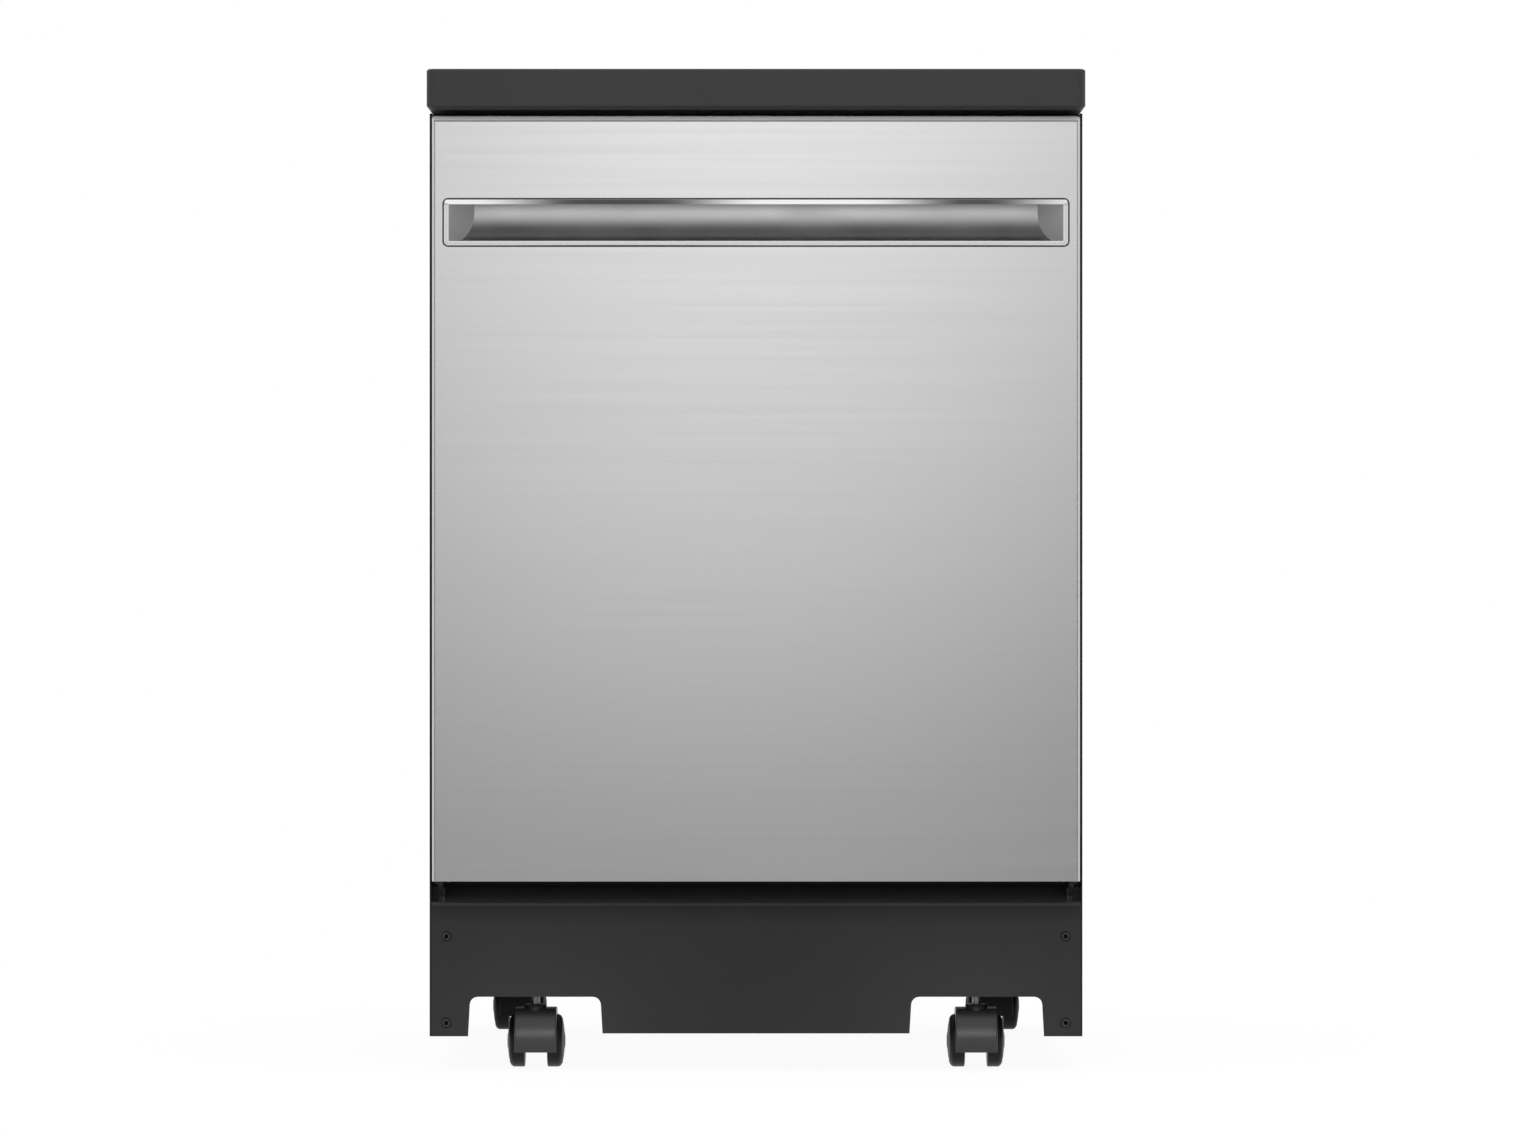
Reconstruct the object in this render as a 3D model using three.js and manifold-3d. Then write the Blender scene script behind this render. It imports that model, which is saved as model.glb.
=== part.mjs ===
// Portable dishwasher on casters. Millimetres, +Z up, the door facing -Y,
// standing on z = 0 with the origin under the middle of the worktop.
import * as THREE from "three";
import { mergeVertices } from "three/addons/utils/BufferGeometryUtils.js";
import Module from "manifold-3d";

// ---------------------------------------------------------------- sizes ----
// Fits
const seatGap = 0.3; // between two pieces that touch
const runningGap = 0.3; // all round a pin or slider in its hole

// Worktop and cabinet
const overallHeight = 941;
const worktopSideOverhang = 0.5;
const worktopDepth = 670;
const worktopThickness = 38;
const worktopCornerRadius = 6;
const worktopTopEase = 1.5;
const worktopUnderChamfer = 3.5;
const cabinetWidth = 615;
const cabinetRearInset = 10;
const sideSheet = 1.2;
const sideHemDepth = 10;
const sideRearFlange = 15;
const sideTopFlange = 12;
const sideFloorGap = 33.3;
const rearPanelBottomZ = 128;

// Hose bay in the rear panel
const bayWidth = 300;
const bayHeight = 240;
const bayTopDrop = 95; // below the worktop's underside
const bayDepth = 80;
const bayWall = 2.5;
const bayFlange = 12;
const hoseHoleRadius = 19;
const cordHoleRadius = 7;
const bayCollarWall = 3;
const bayCollarHeight = 8;
const bayHoleInset = 45;
const bayCornerRadius = 8;

// Door
const doorSetback = 5; // behind the worktop's front edge
const doorProud = 45; // in front of the side panels
const doorThickness = 55; // outer face to liner
const doorReveal = 4.5; // side panel seen beside the door
const doorTopGap = 6.5;
const doorKickGap = 24.4;
const doorSkin = 1.2;
const doorSkinDepth = 43;
const doorEdgeRadius = 3;
const doorTopBevelHeight = 4.7;
const doorTopBevelDepth = 3.5;
const doorTopReturn = 10;
const linerDepth = 12;
const linerSheet = 1;
const linerSideGap = 16.5; // inside the cabinet's half width
const linerBottomRise = 9;
const linerCornerRadius = 14;

// Pocket handle
const pocketSideInset = 10; // inside the door's edge
const pocketHeight = 45.3;
const pocketTopDrop = 76.2; // door top down to the bezel's top
const pocketRim = 5.5;
const pocketCornerRadius = 5;
const pocketDepth = 33;
const pocketWall = 2.5;
const pocketLipDepth = 6;
const pocketGripRise = 14;
const pocketEndSlope = 22;
const pocketRetainer = 3;

// Control fascia on the door's top edge
const fasciaWall = 3;
const fasciaHeight = 20.5;
const buttonWidth = 22;
const buttonDepth = 9;
const buttonProud = 1;
const buttonFlange = 2;
const buttonX = 180;
const latchSlotWidth = 32;
const latchSlotHeight = 10;
const strikeWidth = 20;
const strikeSheet = 2;
const strikeReach = 25;
const strikeFoot = 30;

// Detergent dispenser
const dispenserWidth = 200;
const dispenserHeight = 110;
const dispenserRise = 277.6; // above the liner's bottom
const dispenserProud = 3;
const dispenserDepth = 20;
const cupWidth = 62;
const cupHeight = 70;
const cupDepth = 18;
const cupInset = 14;
const lidThickness = 2.5;
const lidOverlap = 4;
const lidTravel = 66;
const lidRail = 3;
const rinseCapRadius = 17;
const rinseCapHeight = 6;
const rinseNeckRadius = 12;
const rinseInset = 30;

// Hinges and counterbalance springs
const hingeBackset = 30; // behind the door's outer face
const hingeRise = 4.6; // above the door's bottom edge
const hingePinRadius = 4;
const hingeSheet = 3;
const hingeEarSheet = 4;
const hingeEyeRadius = 8;
const hingeArmHeight = 130;
const hingeArmWidth = 28;
const springWire = 2.4;
const springTurns = 3;

// Toe kick
const kickSheet = 1.5;
const kickTopZ = 157;
const kickBottomZ = 36;
const kickTabBottomZ = 33.3;
const kickNotchTopZ = 70.5;
const kickNotchSideInset = 36.2;
const kickNotchWidth = 126.7;
const kickNotchTaper = 2;
const kickNotchRadius = 7.5;
const kickFlangeDepth = 14;
const kickFlangeRise = 17;
const kickEndNotchWidth = 13;
const kickEndNotchHeight = 9;
const kickScrewSideInset = 15.9;
const kickScrewUpperDrop = 29.5; // below the toe kick's top
const kickScrewLowerRise = 12.7; // above its tabs' bottom
const screwHeadRadius = 4.5;
const screwHeadHeight = 1.8;
const screwShankRadius = 1.9;
const screwLength = 8;
const screwSlot = 1;

// Tub
const tubSideGap = 35.5; // cabinet's side to the tub's inner wall
const tubRearGap = 98.5; // cabinet's rear to the tub's inner wall
const tubWall = 1.5;
const tubTopGap = 29;
const tubFlangeTopGap = 1.5; // under the worktop
const tubCornerRadius = 30;
const tubFloorRise = 4.6; // above the door's bottom edge
const tubLipHeight = 14;
const tubLipDrop = 13;
const ledgeRun = 6;
const ledgeWidth = 28;
const ledgeClear = 1; // above the opened door's liner
const gasketWidth = 12;
const gasketDepth = 8;
const gasketBottomRise = 18;

// Sump, filter and pumps
const sumpRadius = 74;
const sumpWall = 2.5;
const sumpDepth = 70;
const sumpFlange = 14;
const wetCentreForward = 0.5; // the spray arms' axis, ahead of the tub's middle
const postRadius = 12;
const postCollarRadius = 16;
const filterPlateRadius = 105;
const filterPlateSheet = 2;
const filterRadius = 22;
const filterOffset = 44;
const filterRise = 16;
const filterFlange = 4;
const pumpAxisRise = 28; // above the sump's bottom
const pumpPortRadius = 13;
const pumpPortLength = 34;
const washVoluteRadius = 38;
const washVoluteLength = 36;
const washMotorRadius = 33;
const washMotorLength = 88;
const drainVoluteRadius = 24;
const drainVoluteLength = 26;
const drainMotorRadius = 20;
const drainMotorLength = 48;
const valveWidth = 40;
const valveDepth = 60;
const valveHeight = 34;

// Spray arms, riser, heater and float
const armRise = 30; // lower arm's blades above the tub floor
const armWallGap = 36;
const armBladeLift = 4; // above the hub's lower end
const armThickness = 10;
const armRootWidth = 44;
const armTipWidth = 28;
const armHubRadius = 19;
const armHubHeight = 20;
const riserRadius = 10;
const riserWallGap = 4;
const dockRadius = 12;
const dockLength = 20;
const ceilingSprayRadius = 26;
const riserClipInset = 100; // the wall clips, from the riser's ends
const riserClipHeight = 20;
const heaterSideGap = 60;
const heaterEndGap = 56;
const heaterCorner = 70;
const heaterTube = 8;
const heaterRise = 14;
const heaterLegRadius = 7;
const heaterLegSpacing = 60;
const floatRadius = 17;
const floatHeight = 34;
const floatStemRadius = 4;
const floatStemDrop = 18;
const floatSideInset = 67;
const floatInset = 50; // behind the tub's front

// Racks
const wire = 4;
const rackSideGap = 24;
const rackFrontGap = 30; // liner to the rack's front wires
const rackRearGap = 26;
const rackLengthwise = 6; // wires running front to back
const rackCrosswise = 6; // wires running side to side
const lowerFloorRise = 72; // above the tub's floor
const lowerWallHeight = 160;
const rollerRadius = 16;
const rollerWidth = 10;
const rollerSetback = 125; // hinge line's liner to the front rollers, past the front wires
const rollerRearInset = 50;
const upperFloorDrop = 262; // below the tub's ceiling
const upperWallHeight = 132;
const railRise = 36; // above the upper rack's floor
const railHeight = 30;
const railDepth = 15;
const railSheet = 1.5;
const railFrontInset = 16;
const sliderHeight = 9;
const sliderSideGap = 1.5; // inside the rail's back wall
const tineHeight = 70;
const tineRows = 2;
const basketWidth = 300;
const basketDepth = 68;
const basketHeight = 112;
const basketWall = 2.5;
const basketCells = 4;
const basketHandleRise = 36;
const feedHangerSetback = 60; // behind the upper arm's axis
const feedHangerDepth = 20;

// Casters
const casterWheelRadius = 25;
const casterWheelWidth = 16.7;
const casterWheelGap = 21.4;
const casterTrail = 18;
const casterWeb = 20.4;
const casterFenderWidth = 39.4;
const casterFenderGap = 1.3;
const casterHoodBottomZ = 15.4;
const casterHoodRearAngle = 20;
const casterHoodTopZ = 57;
const casterNose = 15; // the hood's front, ahead of the stem
const casterNoseRadius = 50;
const casterNoseZ = 34;
const casterNoseEase = 4;
const casterCollarRadius = 10.5;
const casterCollarTopZ = 60.8;
const casterAxleRadius = 4;
const casterAxleInset = 1.5; // inside the wheels' outer faces
const casterStemRadius = 4;
const casterStemBottomZ = 33;
const casterShankRadius = 5.5;
const casterShankLength = 32;
const frontCasterSideInset = 98.5;
const frontCasterInset = 45; // behind the toe kick
const rearCasterSideInset = 64.5;
const rearCasterInset = 70; // ahead of the cabinet's rear
const wheelSides = 18;

// Base frame
const frameBottomZ = 72;
const frameHeight = 26;
const frameSheet = 2;
const frameRailWidth = 30;
const socketWall = 3;
const socketPlateWidth = 46;
const postWidth = 14;
const cornerPlateWidth = 24;

// ------------------------------------------------------ derived places ----
const worktopWidth = cabinetWidth + 2 * worktopSideOverhang;
const worktopUnderZ = overallHeight - worktopThickness;
const bayBottomZ = worktopUnderZ - bayTopDrop - bayHeight;
const doorFrontY = -worktopDepth / 2 + doorSetback;
const doorHalfWidth = cabinetWidth / 2 - doorReveal;
const doorTopZ = worktopUnderZ - doorTopGap;
const doorBottomZ = kickTopZ + doorKickGap;
const skinRearY = doorFrontY + doorSkinDepth;
const skinInnerY = doorFrontY + doorSkin;
const skinInnerX = doorHalfWidth - doorSkin;
const linerY = doorFrontY + doorThickness;
const linerHalfWidth = cabinetWidth / 2 - linerSideGap - sideSheet;
const linerBottomZ = doorBottomZ + linerBottomRise;
const fasciaBottomZ = doorTopZ - fasciaHeight;
const linerTopZ = fasciaBottomZ - seatGap;
const pocketWidth = 2 * (doorHalfWidth - pocketSideInset);
const dispenserBottomZ = linerBottomZ + dispenserRise;
const strikeZ = fasciaBottomZ + fasciaHeight / 2;

const cabinetFrontY = doorFrontY + doorProud;
const cabinetRearY = worktopDepth / 2 - cabinetRearInset;
const sideInnerX = cabinetWidth / 2 - sideSheet;
const kickNotchOuterX = cabinetWidth / 2 - kickNotchSideInset;
const kickNotchInnerX = kickNotchOuterX - kickNotchWidth;
const kickScrewX = cabinetWidth / 2 - kickScrewSideInset;
const kickScrewUpperZ = kickTopZ - kickScrewUpperDrop;
const kickScrewLowerZ = kickTabBottomZ + kickScrewLowerRise;
const rearPanelY = cabinetRearY - sideSheet - seatGap - kickSheet;

const hingeY = doorFrontY + hingeBackset;
const hingeZ = doorBottomZ + hingeRise;
const armOuterX = skinInnerX - seatGap;
const armInnerX = armOuterX - hingeSheet;
const earOuterX = armInnerX - seatGap;
const earInnerX = earOuterX - hingeEarSheet;

const tubFrontY = linerY + gasketDepth;
const tubBackY = cabinetRearY - tubRearGap;
const tubHalfWidth = cabinetWidth / 2 - tubSideGap;
const tubHalfDepth = (tubBackY - tubFrontY - tubWall) / 2;
const wetCentreY = tubBackY - tubHalfDepth - wetCentreForward;
const armReach = Math.min(tubHalfWidth, tubHalfDepth) - armWallGap;
const heaterHalfWidth = tubHalfWidth - heaterSideGap;
const heaterHalfDepth = tubHalfDepth - heaterEndGap;
const floatX = floatSideInset - tubHalfWidth;
const tubFloorZ = doorBottomZ + tubFloorRise;
const tubUnderZ = tubFloorZ - tubWall;
const tubCeilingZ = worktopUnderZ - tubTopGap;
const ledgeZ = hingeZ + (linerY - hingeY) + ledgeClear;
const plateTopZ = tubFloorZ + seatGap + filterPlateSheet;
const armBladeZ = tubFloorZ + armRise;
const armHubZ = armBladeZ - armBladeLift;
const postTopZ = armHubZ + armHubHeight / 2;
const sumpTopZ = tubUnderZ - seatGap;
const sumpBottomZ = sumpTopZ - sumpDepth;
const pumpAxisZ = sumpBottomZ + pumpAxisRise;

const lowerFloorZ = tubFloorZ + lowerFloorRise;
const upperFloorZ = tubCeilingZ - upperFloorDrop;
const railZ = upperFloorZ + railRise;
const rackHalfWidth = tubHalfWidth - rackSideGap;
const rackFrontY = linerY + rackFrontGap;
const rackRearY = tubBackY - rackRearGap;
const feedZ = upperFloorZ - dockRadius - seatGap;
const upperArmHubZ = feedZ - riserRadius - seatGap - armHubHeight;
const riserY = tubBackY - riserRadius - riserWallGap;
const dockFaceY = riserY - riserRadius - dockLength;

const frameTopZ = frameBottomZ + frameHeight;
const frameHalfWidth = sideInnerX - seatGap;
const frameFrontY = cabinetFrontY + kickSheet + seatGap;
const frameRearY = rearPanelY - seatGap;
const frontCasterX = cabinetWidth / 2 - frontCasterSideInset;
const rearCasterX = cabinetWidth / 2 - rearCasterSideInset;
const frontCasterY = cabinetFrontY + frontCasterInset;
const rearCasterY = cabinetRearY - rearCasterInset;

// ------------------------------------------------------------- shaping ----
const wasm = await Module();
wasm.setup();

// A closed geometry as a solid that can be joined and cut.
function solidOf(geometry) {
  const loose = geometry.index ? geometry.toNonIndexed() : geometry;
  const bare = new THREE.BufferGeometry();
  bare.setAttribute("position", loose.getAttribute("position"));
  const merged = mergeVertices(bare, 1e-4);
  return new wasm.Manifold(
    new wasm.Mesh({
      numProp: 3,
      vertProperties: merged.attributes.position.array,
      triVerts: new Uint32Array(merged.index.array),
    }),
  );
}

function geometryOf(solid) {
  const mesh = solid.getMesh();
  const geometry = new THREE.BufferGeometry();
  geometry.setAttribute("position", new THREE.BufferAttribute(mesh.vertProperties, 3));
  geometry.setIndex(new THREE.BufferAttribute(mesh.triVerts, 1));
  return geometry;
}

function join(...geometries) {
  const solids = geometries.map(solidOf);
  return geometryOf(solids.reduce((whole, next) => whole.add(next)));
}

function cut(geometry, ...tools) {
  const start = solidOf(geometry);
  return geometryOf(tools.map(solidOf).reduce((whole, tool) => whole.subtract(tool), start));
}

function common(a, b) {
  return geometryOf(solidOf(a).intersect(solidOf(b)));
}

// The left-hand twin of a right-hand piece.
function mirrored(geometry) {
  const twin = (geometry.index ? geometry.toNonIndexed() : geometry.clone()).scale(-1, 1, 1);
  const points = twin.getAttribute("position").array;
  for (let i = 0; i < points.length; i += 9) {
    for (let k = 0; k < 3; k += 1) {
      [points[i + 3 + k], points[i + 6 + k]] = [points[i + 6 + k], points[i + 3 + k]];
    }
  }
  return twin;
}

function box(x0, x1, y0, y1, z0, z1) {
  const geometry = new THREE.BoxGeometry(x1 - x0, y1 - y0, z1 - z0);
  return geometry.translate((x0 + x1) / 2, (y0 + y1) / 2, (z0 + z1) / 2);
}

function rod(axis, radius, from, to, a, b, sides = 16) {
  const geometry = new THREE.CylinderGeometry(radius, radius, to - from, sides);
  const middle = (from + to) / 2;
  if (axis === "x") return geometry.rotateZ(-Math.PI / 2).translate(middle, a, b);
  if (axis === "y") return geometry.translate(a, middle, b);
  return geometry.rotateX(Math.PI / 2).translate(a, b, middle);
}

// Corner points [u, v, radius] to an outline with its corners rounded by arcs.
function rounded(corners, steps = 4) {
  const outline = [];
  corners.forEach(([u, v, radius = 0], i) => {
    const here = new THREE.Vector2(u, v);
    if (radius <= 0) {
      outline.push(here);
      return;
    }
    const before = corners[(i + corners.length - 1) % corners.length];
    const after = corners[(i + 1) % corners.length];
    const back = new THREE.Vector2(before[0] - u, before[1] - v).normalize();
    const ahead = new THREE.Vector2(after[0] - u, after[1] - v).normalize();
    const half = Math.acos(THREE.MathUtils.clamp(back.dot(ahead), -1, 1)) / 2;
    const toCentre = back.clone().add(ahead).normalize();
    const centre = here.clone().addScaledVector(toCentre, radius / Math.sin(half));
    const start = here.clone().addScaledVector(back, radius / Math.tan(half)).sub(centre).angle();
    const end = here.clone().addScaledVector(ahead, radius / Math.tan(half)).sub(centre).angle();
    let turn = end - start;
    if (turn > Math.PI) turn -= 2 * Math.PI;
    if (turn < -Math.PI) turn += 2 * Math.PI;
    for (let k = 0; k <= steps; k += 1) {
      const angle = start + (turn * k) / steps;
      outline.push(new THREE.Vector2(
        centre.x + radius * Math.cos(angle),
        centre.y + radius * Math.sin(angle),
      ));
    }
  });
  return outline;
}

function rectangle(u0, u1, v0, v1, radius = 0, steps = 4) {
  return rounded([[u0, v0, radius], [u1, v0, radius], [u1, v1, radius], [u0, v1, radius]], steps);
}

function extruded(outline, depth, holes) {
  const shape = new THREE.Shape(outline);
  shape.holes = holes.map((hole) => new THREE.Path(hole));
  return new THREE.ExtrudeGeometry(shape, { depth, bevelEnabled: false });
}

// Outlines in (y, z), (x, z) or (x, y), pulled along the third axis.
function alongX(outline, x0, x1, holes = []) {
  const turn = new THREE.Matrix4().makeBasis(
    new THREE.Vector3(0, 1, 0),
    new THREE.Vector3(0, 0, 1),
    new THREE.Vector3(1, 0, 0),
  );
  return extruded(outline, x1 - x0, holes).applyMatrix4(turn).translate(x0, 0, 0);
}

function alongY(outline, y0, y1, holes = []) {
  return extruded(outline, y1 - y0, holes).rotateX(Math.PI / 2).translate(0, y1, 0);
}

function alongZ(outline, z0, z1, holes = []) {
  return extruded(outline, z1 - z0, holes).translate(0, 0, z0);
}

// Skins rings of equal length, each given as 3-D points, and closes both ends.
function loft(rings, outlineOf) {
  const count = rings[0].length;
  const points = rings.flat().flatMap((p) => [p.x, p.y, p.z]);
  const faces = [];
  for (let r = 0; r + 1 < rings.length; r += 1) {
    for (let k = 0; k < count; k += 1) {
      const a = r * count + k;
      const b = r * count + ((k + 1) % count);
      faces.push(a, b, b + count, a, b + count, a + count);
    }
  }
  const last = (rings.length - 1) * count;
  for (const [i, j, k] of THREE.ShapeUtils.triangulateShape(outlineOf(rings[0]), [])) {
    faces.push(i, k, j);
  }
  for (const [i, j, k] of THREE.ShapeUtils.triangulateShape(outlineOf(rings.at(-1)), [])) {
    faces.push(last + i, last + j, last + k);
  }
  const geometry = new THREE.BufferGeometry();
  geometry.setAttribute("position", new THREE.Float32BufferAttribute(points, 3));
  geometry.setIndex(faces);
  return geometry;
}

// Evenly spaced places from low to high, both ends included.
function spread(low, high, count) {
  return Array.from({ length: count }, (_, i) => low + ((high - low) * i) / (count - 1));
}

// ------------------------------------------------------------- cabinet ----
function makeWorktop() {
  const layers = [
    [worktopUnderChamfer, worktopUnderZ],
    [0, worktopUnderZ + worktopUnderChamfer],
    [0, overallHeight - worktopTopEase],
    [worktopTopEase, overallHeight],
  ];
  const rings = layers.map(([inset, z]) => {
    const halfX = worktopWidth / 2 - inset;
    const halfY = worktopDepth / 2 - inset;
    const plan = rectangle(-halfX, halfX, -halfY, halfY, worktopCornerRadius);
    return plan.map((p) => new THREE.Vector3(p.x, p.y, z));
  });
  return loft(rings, (ring) => ring.map((p) => new THREE.Vector2(p.x, p.y)));
}

function makeSidePanel() {
  const outer = cabinetWidth / 2;
  const topZ = worktopUnderZ - seatGap;
  const plan = [
    [outer, cabinetFrontY],
    [outer, cabinetRearY],
    [sideInnerX - sideRearFlange, cabinetRearY],
    [sideInnerX - sideRearFlange, cabinetRearY - sideSheet],
    [sideInnerX, cabinetRearY - sideSheet],
    [sideInnerX, cabinetFrontY + sideHemDepth],
    [sideInnerX - sideSheet, cabinetFrontY + sideHemDepth],
    [sideInnerX - sideSheet, cabinetFrontY],
  ];
  const sheet = alongZ(rounded(plan), sideFloorGap, topZ);
  const kickRelief = box(
    sideInnerX - 2 * sideSheet, sideInnerX,
    cabinetFrontY - 1, cabinetFrontY + sideHemDepth + 1,
    sideFloorGap - 1, hingeZ + hingeEyeRadius + hingeArmWidth,
  );
  const flange = box(
    sideInnerX - sideTopFlange, sideInnerX + sideSheet / 2,
    tubFrontY + tubWall + seatGap, cabinetRearY - sideSheet / 2,
    topZ - sideSheet, topZ,
  );
  return join(cut(sheet, kickRelief), flange);
}

function makeRearPanel() {
  const half = sideInnerX - seatGap;
  const topZ = worktopUnderZ - seatGap - sideSheet - seatGap;
  const panel = rectangle(-half, half, rearPanelBottomZ, topZ);
  const halfBay = bayWidth / 2 + seatGap;
  const hole = rectangle(
    -halfBay, halfBay, bayBottomZ - seatGap, bayBottomZ + bayHeight + seatGap, bayCornerRadius,
  );
  return alongY(panel, rearPanelY, rearPanelY + kickSheet, [hole]);
}

// A moulded box let into the rear panel, where the hoses and the mains lead are stowed.
function makeHoseBay() {
  const faceY = rearPanelY + kickSheet + seatGap;
  const half = bayWidth / 2;
  const topZ = bayBottomZ + bayHeight;
  const shell = join(
    alongY(rectangle(-half, half, bayBottomZ, topZ, bayCornerRadius), faceY - bayDepth, faceY),
    alongY(
      rectangle(-half - bayFlange, half + bayFlange, bayBottomZ - bayFlange, topZ + bayFlange, 12),
      faceY, faceY + bayWall,
    ),
  );
  const hollow = alongY(
    rectangle(-half + bayWall, half - bayWall, bayBottomZ + bayWall, topZ - bayWall, 6),
    faceY - bayDepth + bayWall, faceY + bayWall + 1,
  );
  const middleY = faceY - bayDepth / 2;
  const hoseX = -half + bayHoleInset;
  const cordX = half - bayHoleInset;
  const collars = [[hoseX, hoseHoleRadius], [cordX, cordHoleRadius]];
  const rings = collars.map(([x, r]) => rod(
    "z", r + bayCollarWall, bayBottomZ - bayCollarHeight, bayBottomZ + bayCollarHeight, x, middleY,
  ));
  const bores = collars.map(([x, r]) => rod(
    "z", r, bayBottomZ - 2 * bayCollarHeight, bayBottomZ + 2 * bayCollarHeight, x, middleY,
  ));
  return cut(join(cut(shell, hollow), ...rings), ...bores);
}

// One side of the welded base: rail, caster sockets, corner plate, hinge ear and tub posts.
function makeFrameSide() {
  const outer = frameHalfWidth;
  const inner = outer - frameRailWidth;
  const rail = cut(
    box(inner, outer, frameFrontY, frameRearY, frameBottomZ, frameTopZ),
    box(inner - 1, outer - frameSheet, frameFrontY - 1, frameRearY + 1,
      frameBottomZ - 1, frameTopZ - frameSheet),
  );
  const corner = box(
    outer - cornerPlateWidth, outer, frameFrontY, frameFrontY + frameSheet,
    kickTabBottomZ + 2, kickTopZ,
  );
  const earRearY = frameFrontY + postWidth;
  const ear = alongX(
    rounded([
      [frameFrontY, frameTopZ - frameSheet],
      [earRearY, frameTopZ - frameSheet],
      [earRearY, hingeZ + hingeEyeRadius, 4],
      [hingeY - hingeEyeRadius, hingeZ + hingeEyeRadius, 6],
      [hingeY - hingeEyeRadius, hingeZ - hingeEyeRadius, 6],
      [frameFrontY, kickTopZ + kickFlangeRise - kickEndNotchHeight + seatGap],
    ]),
    earInnerX, earOuterX,
  );
  const earFoot = box(
    earInnerX, outer, frameFrontY, frameFrontY + frameSheet, frameTopZ - frameSheet, kickTopZ,
  );
  const pinHole = rod(
    "x", hingePinRadius + runningGap, earInnerX - 1, earOuterX + 1, hingeY, hingeZ,
  );
  const tubSeatX = tubHalfWidth - ledgeWidth / 2;
  const posts = [tubFrontY + 3 * postWidth, tubBackY - 2 * postWidth].map((y) => join(
    box(inner - 6, inner + frameSheet, y, y + postWidth, frameBottomZ, ledgeZ - tubWall - seatGap),
    box(tubSeatX, inner + frameSheet, y, y + postWidth,
      ledgeZ - tubWall - seatGap - frameSheet, ledgeZ - tubWall - seatGap),
  ));
  return cut(join(rail, corner, ear, earFoot, ...posts), pinHole);
}

function casterSocket(x, y) {
  const plate = box(
    x - socketPlateWidth / 2, frameHalfWidth - frameSheet / 2,
    y - socketPlateWidth / 2, y + socketPlateWidth / 2,
    frameBottomZ, frameBottomZ + frameSheet,
  );
  const tube = rod(
    "z", casterShankRadius + runningGap + socketWall, frameBottomZ,
    frameBottomZ + casterShankLength, x, y,
  );
  return [join(plate, tube), rod(
    "z", casterShankRadius + runningGap, frameBottomZ - 1,
    frameBottomZ + casterShankLength + 1, x, y,
  )];
}

function makeBaseFrame() {
  const side = makeFrameSide();
  const sockets = [
    casterSocket(frontCasterX, frontCasterY),
    casterSocket(rearCasterX, rearCasterY),
  ];
  const half = cut(join(side, ...sockets.map((s) => s[0])), ...sockets.map((s) => s[1]));
  const crossbar = (y0, y1, wallY) => join(
    box(-frameHalfWidth, frameHalfWidth, y0, y1, frameTopZ - frameSheet, frameTopZ),
    box(-frameHalfWidth, frameHalfWidth, wallY, wallY + frameSheet, frameBottomZ, frameTopZ),
  );
  const front = crossbar(frameFrontY, frameFrontY + frameRailWidth / 2, frameFrontY);
  const rear = crossbar(
    frameRearY - frameRailWidth, frameRearY, frameRearY - frameSheet,
  );
  const screwHoles = [-1, 1].flatMap((s) => [kickScrewUpperZ, kickScrewLowerZ].map((z) => rod(
    "y", screwShankRadius + runningGap, frameFrontY - 1, frameFrontY + frameSheet + 1,
    s * kickScrewX, z, 12,
  )));
  return cut(join(half, mirrored(half), front, rear), ...screwHoles);
}

function makeToeKick() {
  const half = frameHalfWidth;
  const side = [
    [kickNotchInnerX, kickBottomZ],
    [kickNotchInnerX + kickNotchTaper, kickNotchTopZ, kickNotchRadius],
    [kickNotchOuterX - kickNotchTaper, kickNotchTopZ, kickNotchRadius],
    [kickNotchOuterX, kickTabBottomZ],
    [half, kickTabBottomZ],
    [half, kickTopZ],
  ];
  const outline = [...side, ...side.map(([x, z, r]) => [-x, z, r]).reverse()];
  const face = alongY(rounded(outline), cabinetFrontY, cabinetFrontY + kickSheet);
  const flange = alongX([
    [cabinetFrontY, kickTopZ - 2 * kickSheet],
    [cabinetFrontY + kickSheet, kickTopZ - 2 * kickSheet],
    [cabinetFrontY + kickSheet, kickTopZ],
    [cabinetFrontY + kickFlangeDepth, kickTopZ + kickFlangeRise - kickSheet],
    [cabinetFrontY + kickFlangeDepth, kickTopZ + kickFlangeRise],
    [cabinetFrontY, kickTopZ + kickSheet],
  ].map(([y, z]) => new THREE.Vector2(y, z)), -half, half);
  const endNotch = (s) => box(
    Math.min(s * (half - kickEndNotchWidth), s * (half + 1)),
    Math.max(s * (half - kickEndNotchWidth), s * (half + 1)),
    cabinetFrontY + kickSheet, cabinetFrontY + kickFlangeDepth + 1,
    kickTopZ - kickSheet, kickTopZ + kickFlangeRise + 1,
  );
  const holes = [-1, 1].flatMap((s) => [kickScrewUpperZ, kickScrewLowerZ].map((z) => rod(
    "y", screwShankRadius + runningGap, cabinetFrontY - 1, cabinetFrontY + kickSheet + 1,
    s * kickScrewX, z, 12,
  )));
  return cut(join(face, flange), endNotch(-1), endNotch(1), ...holes);
}

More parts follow.
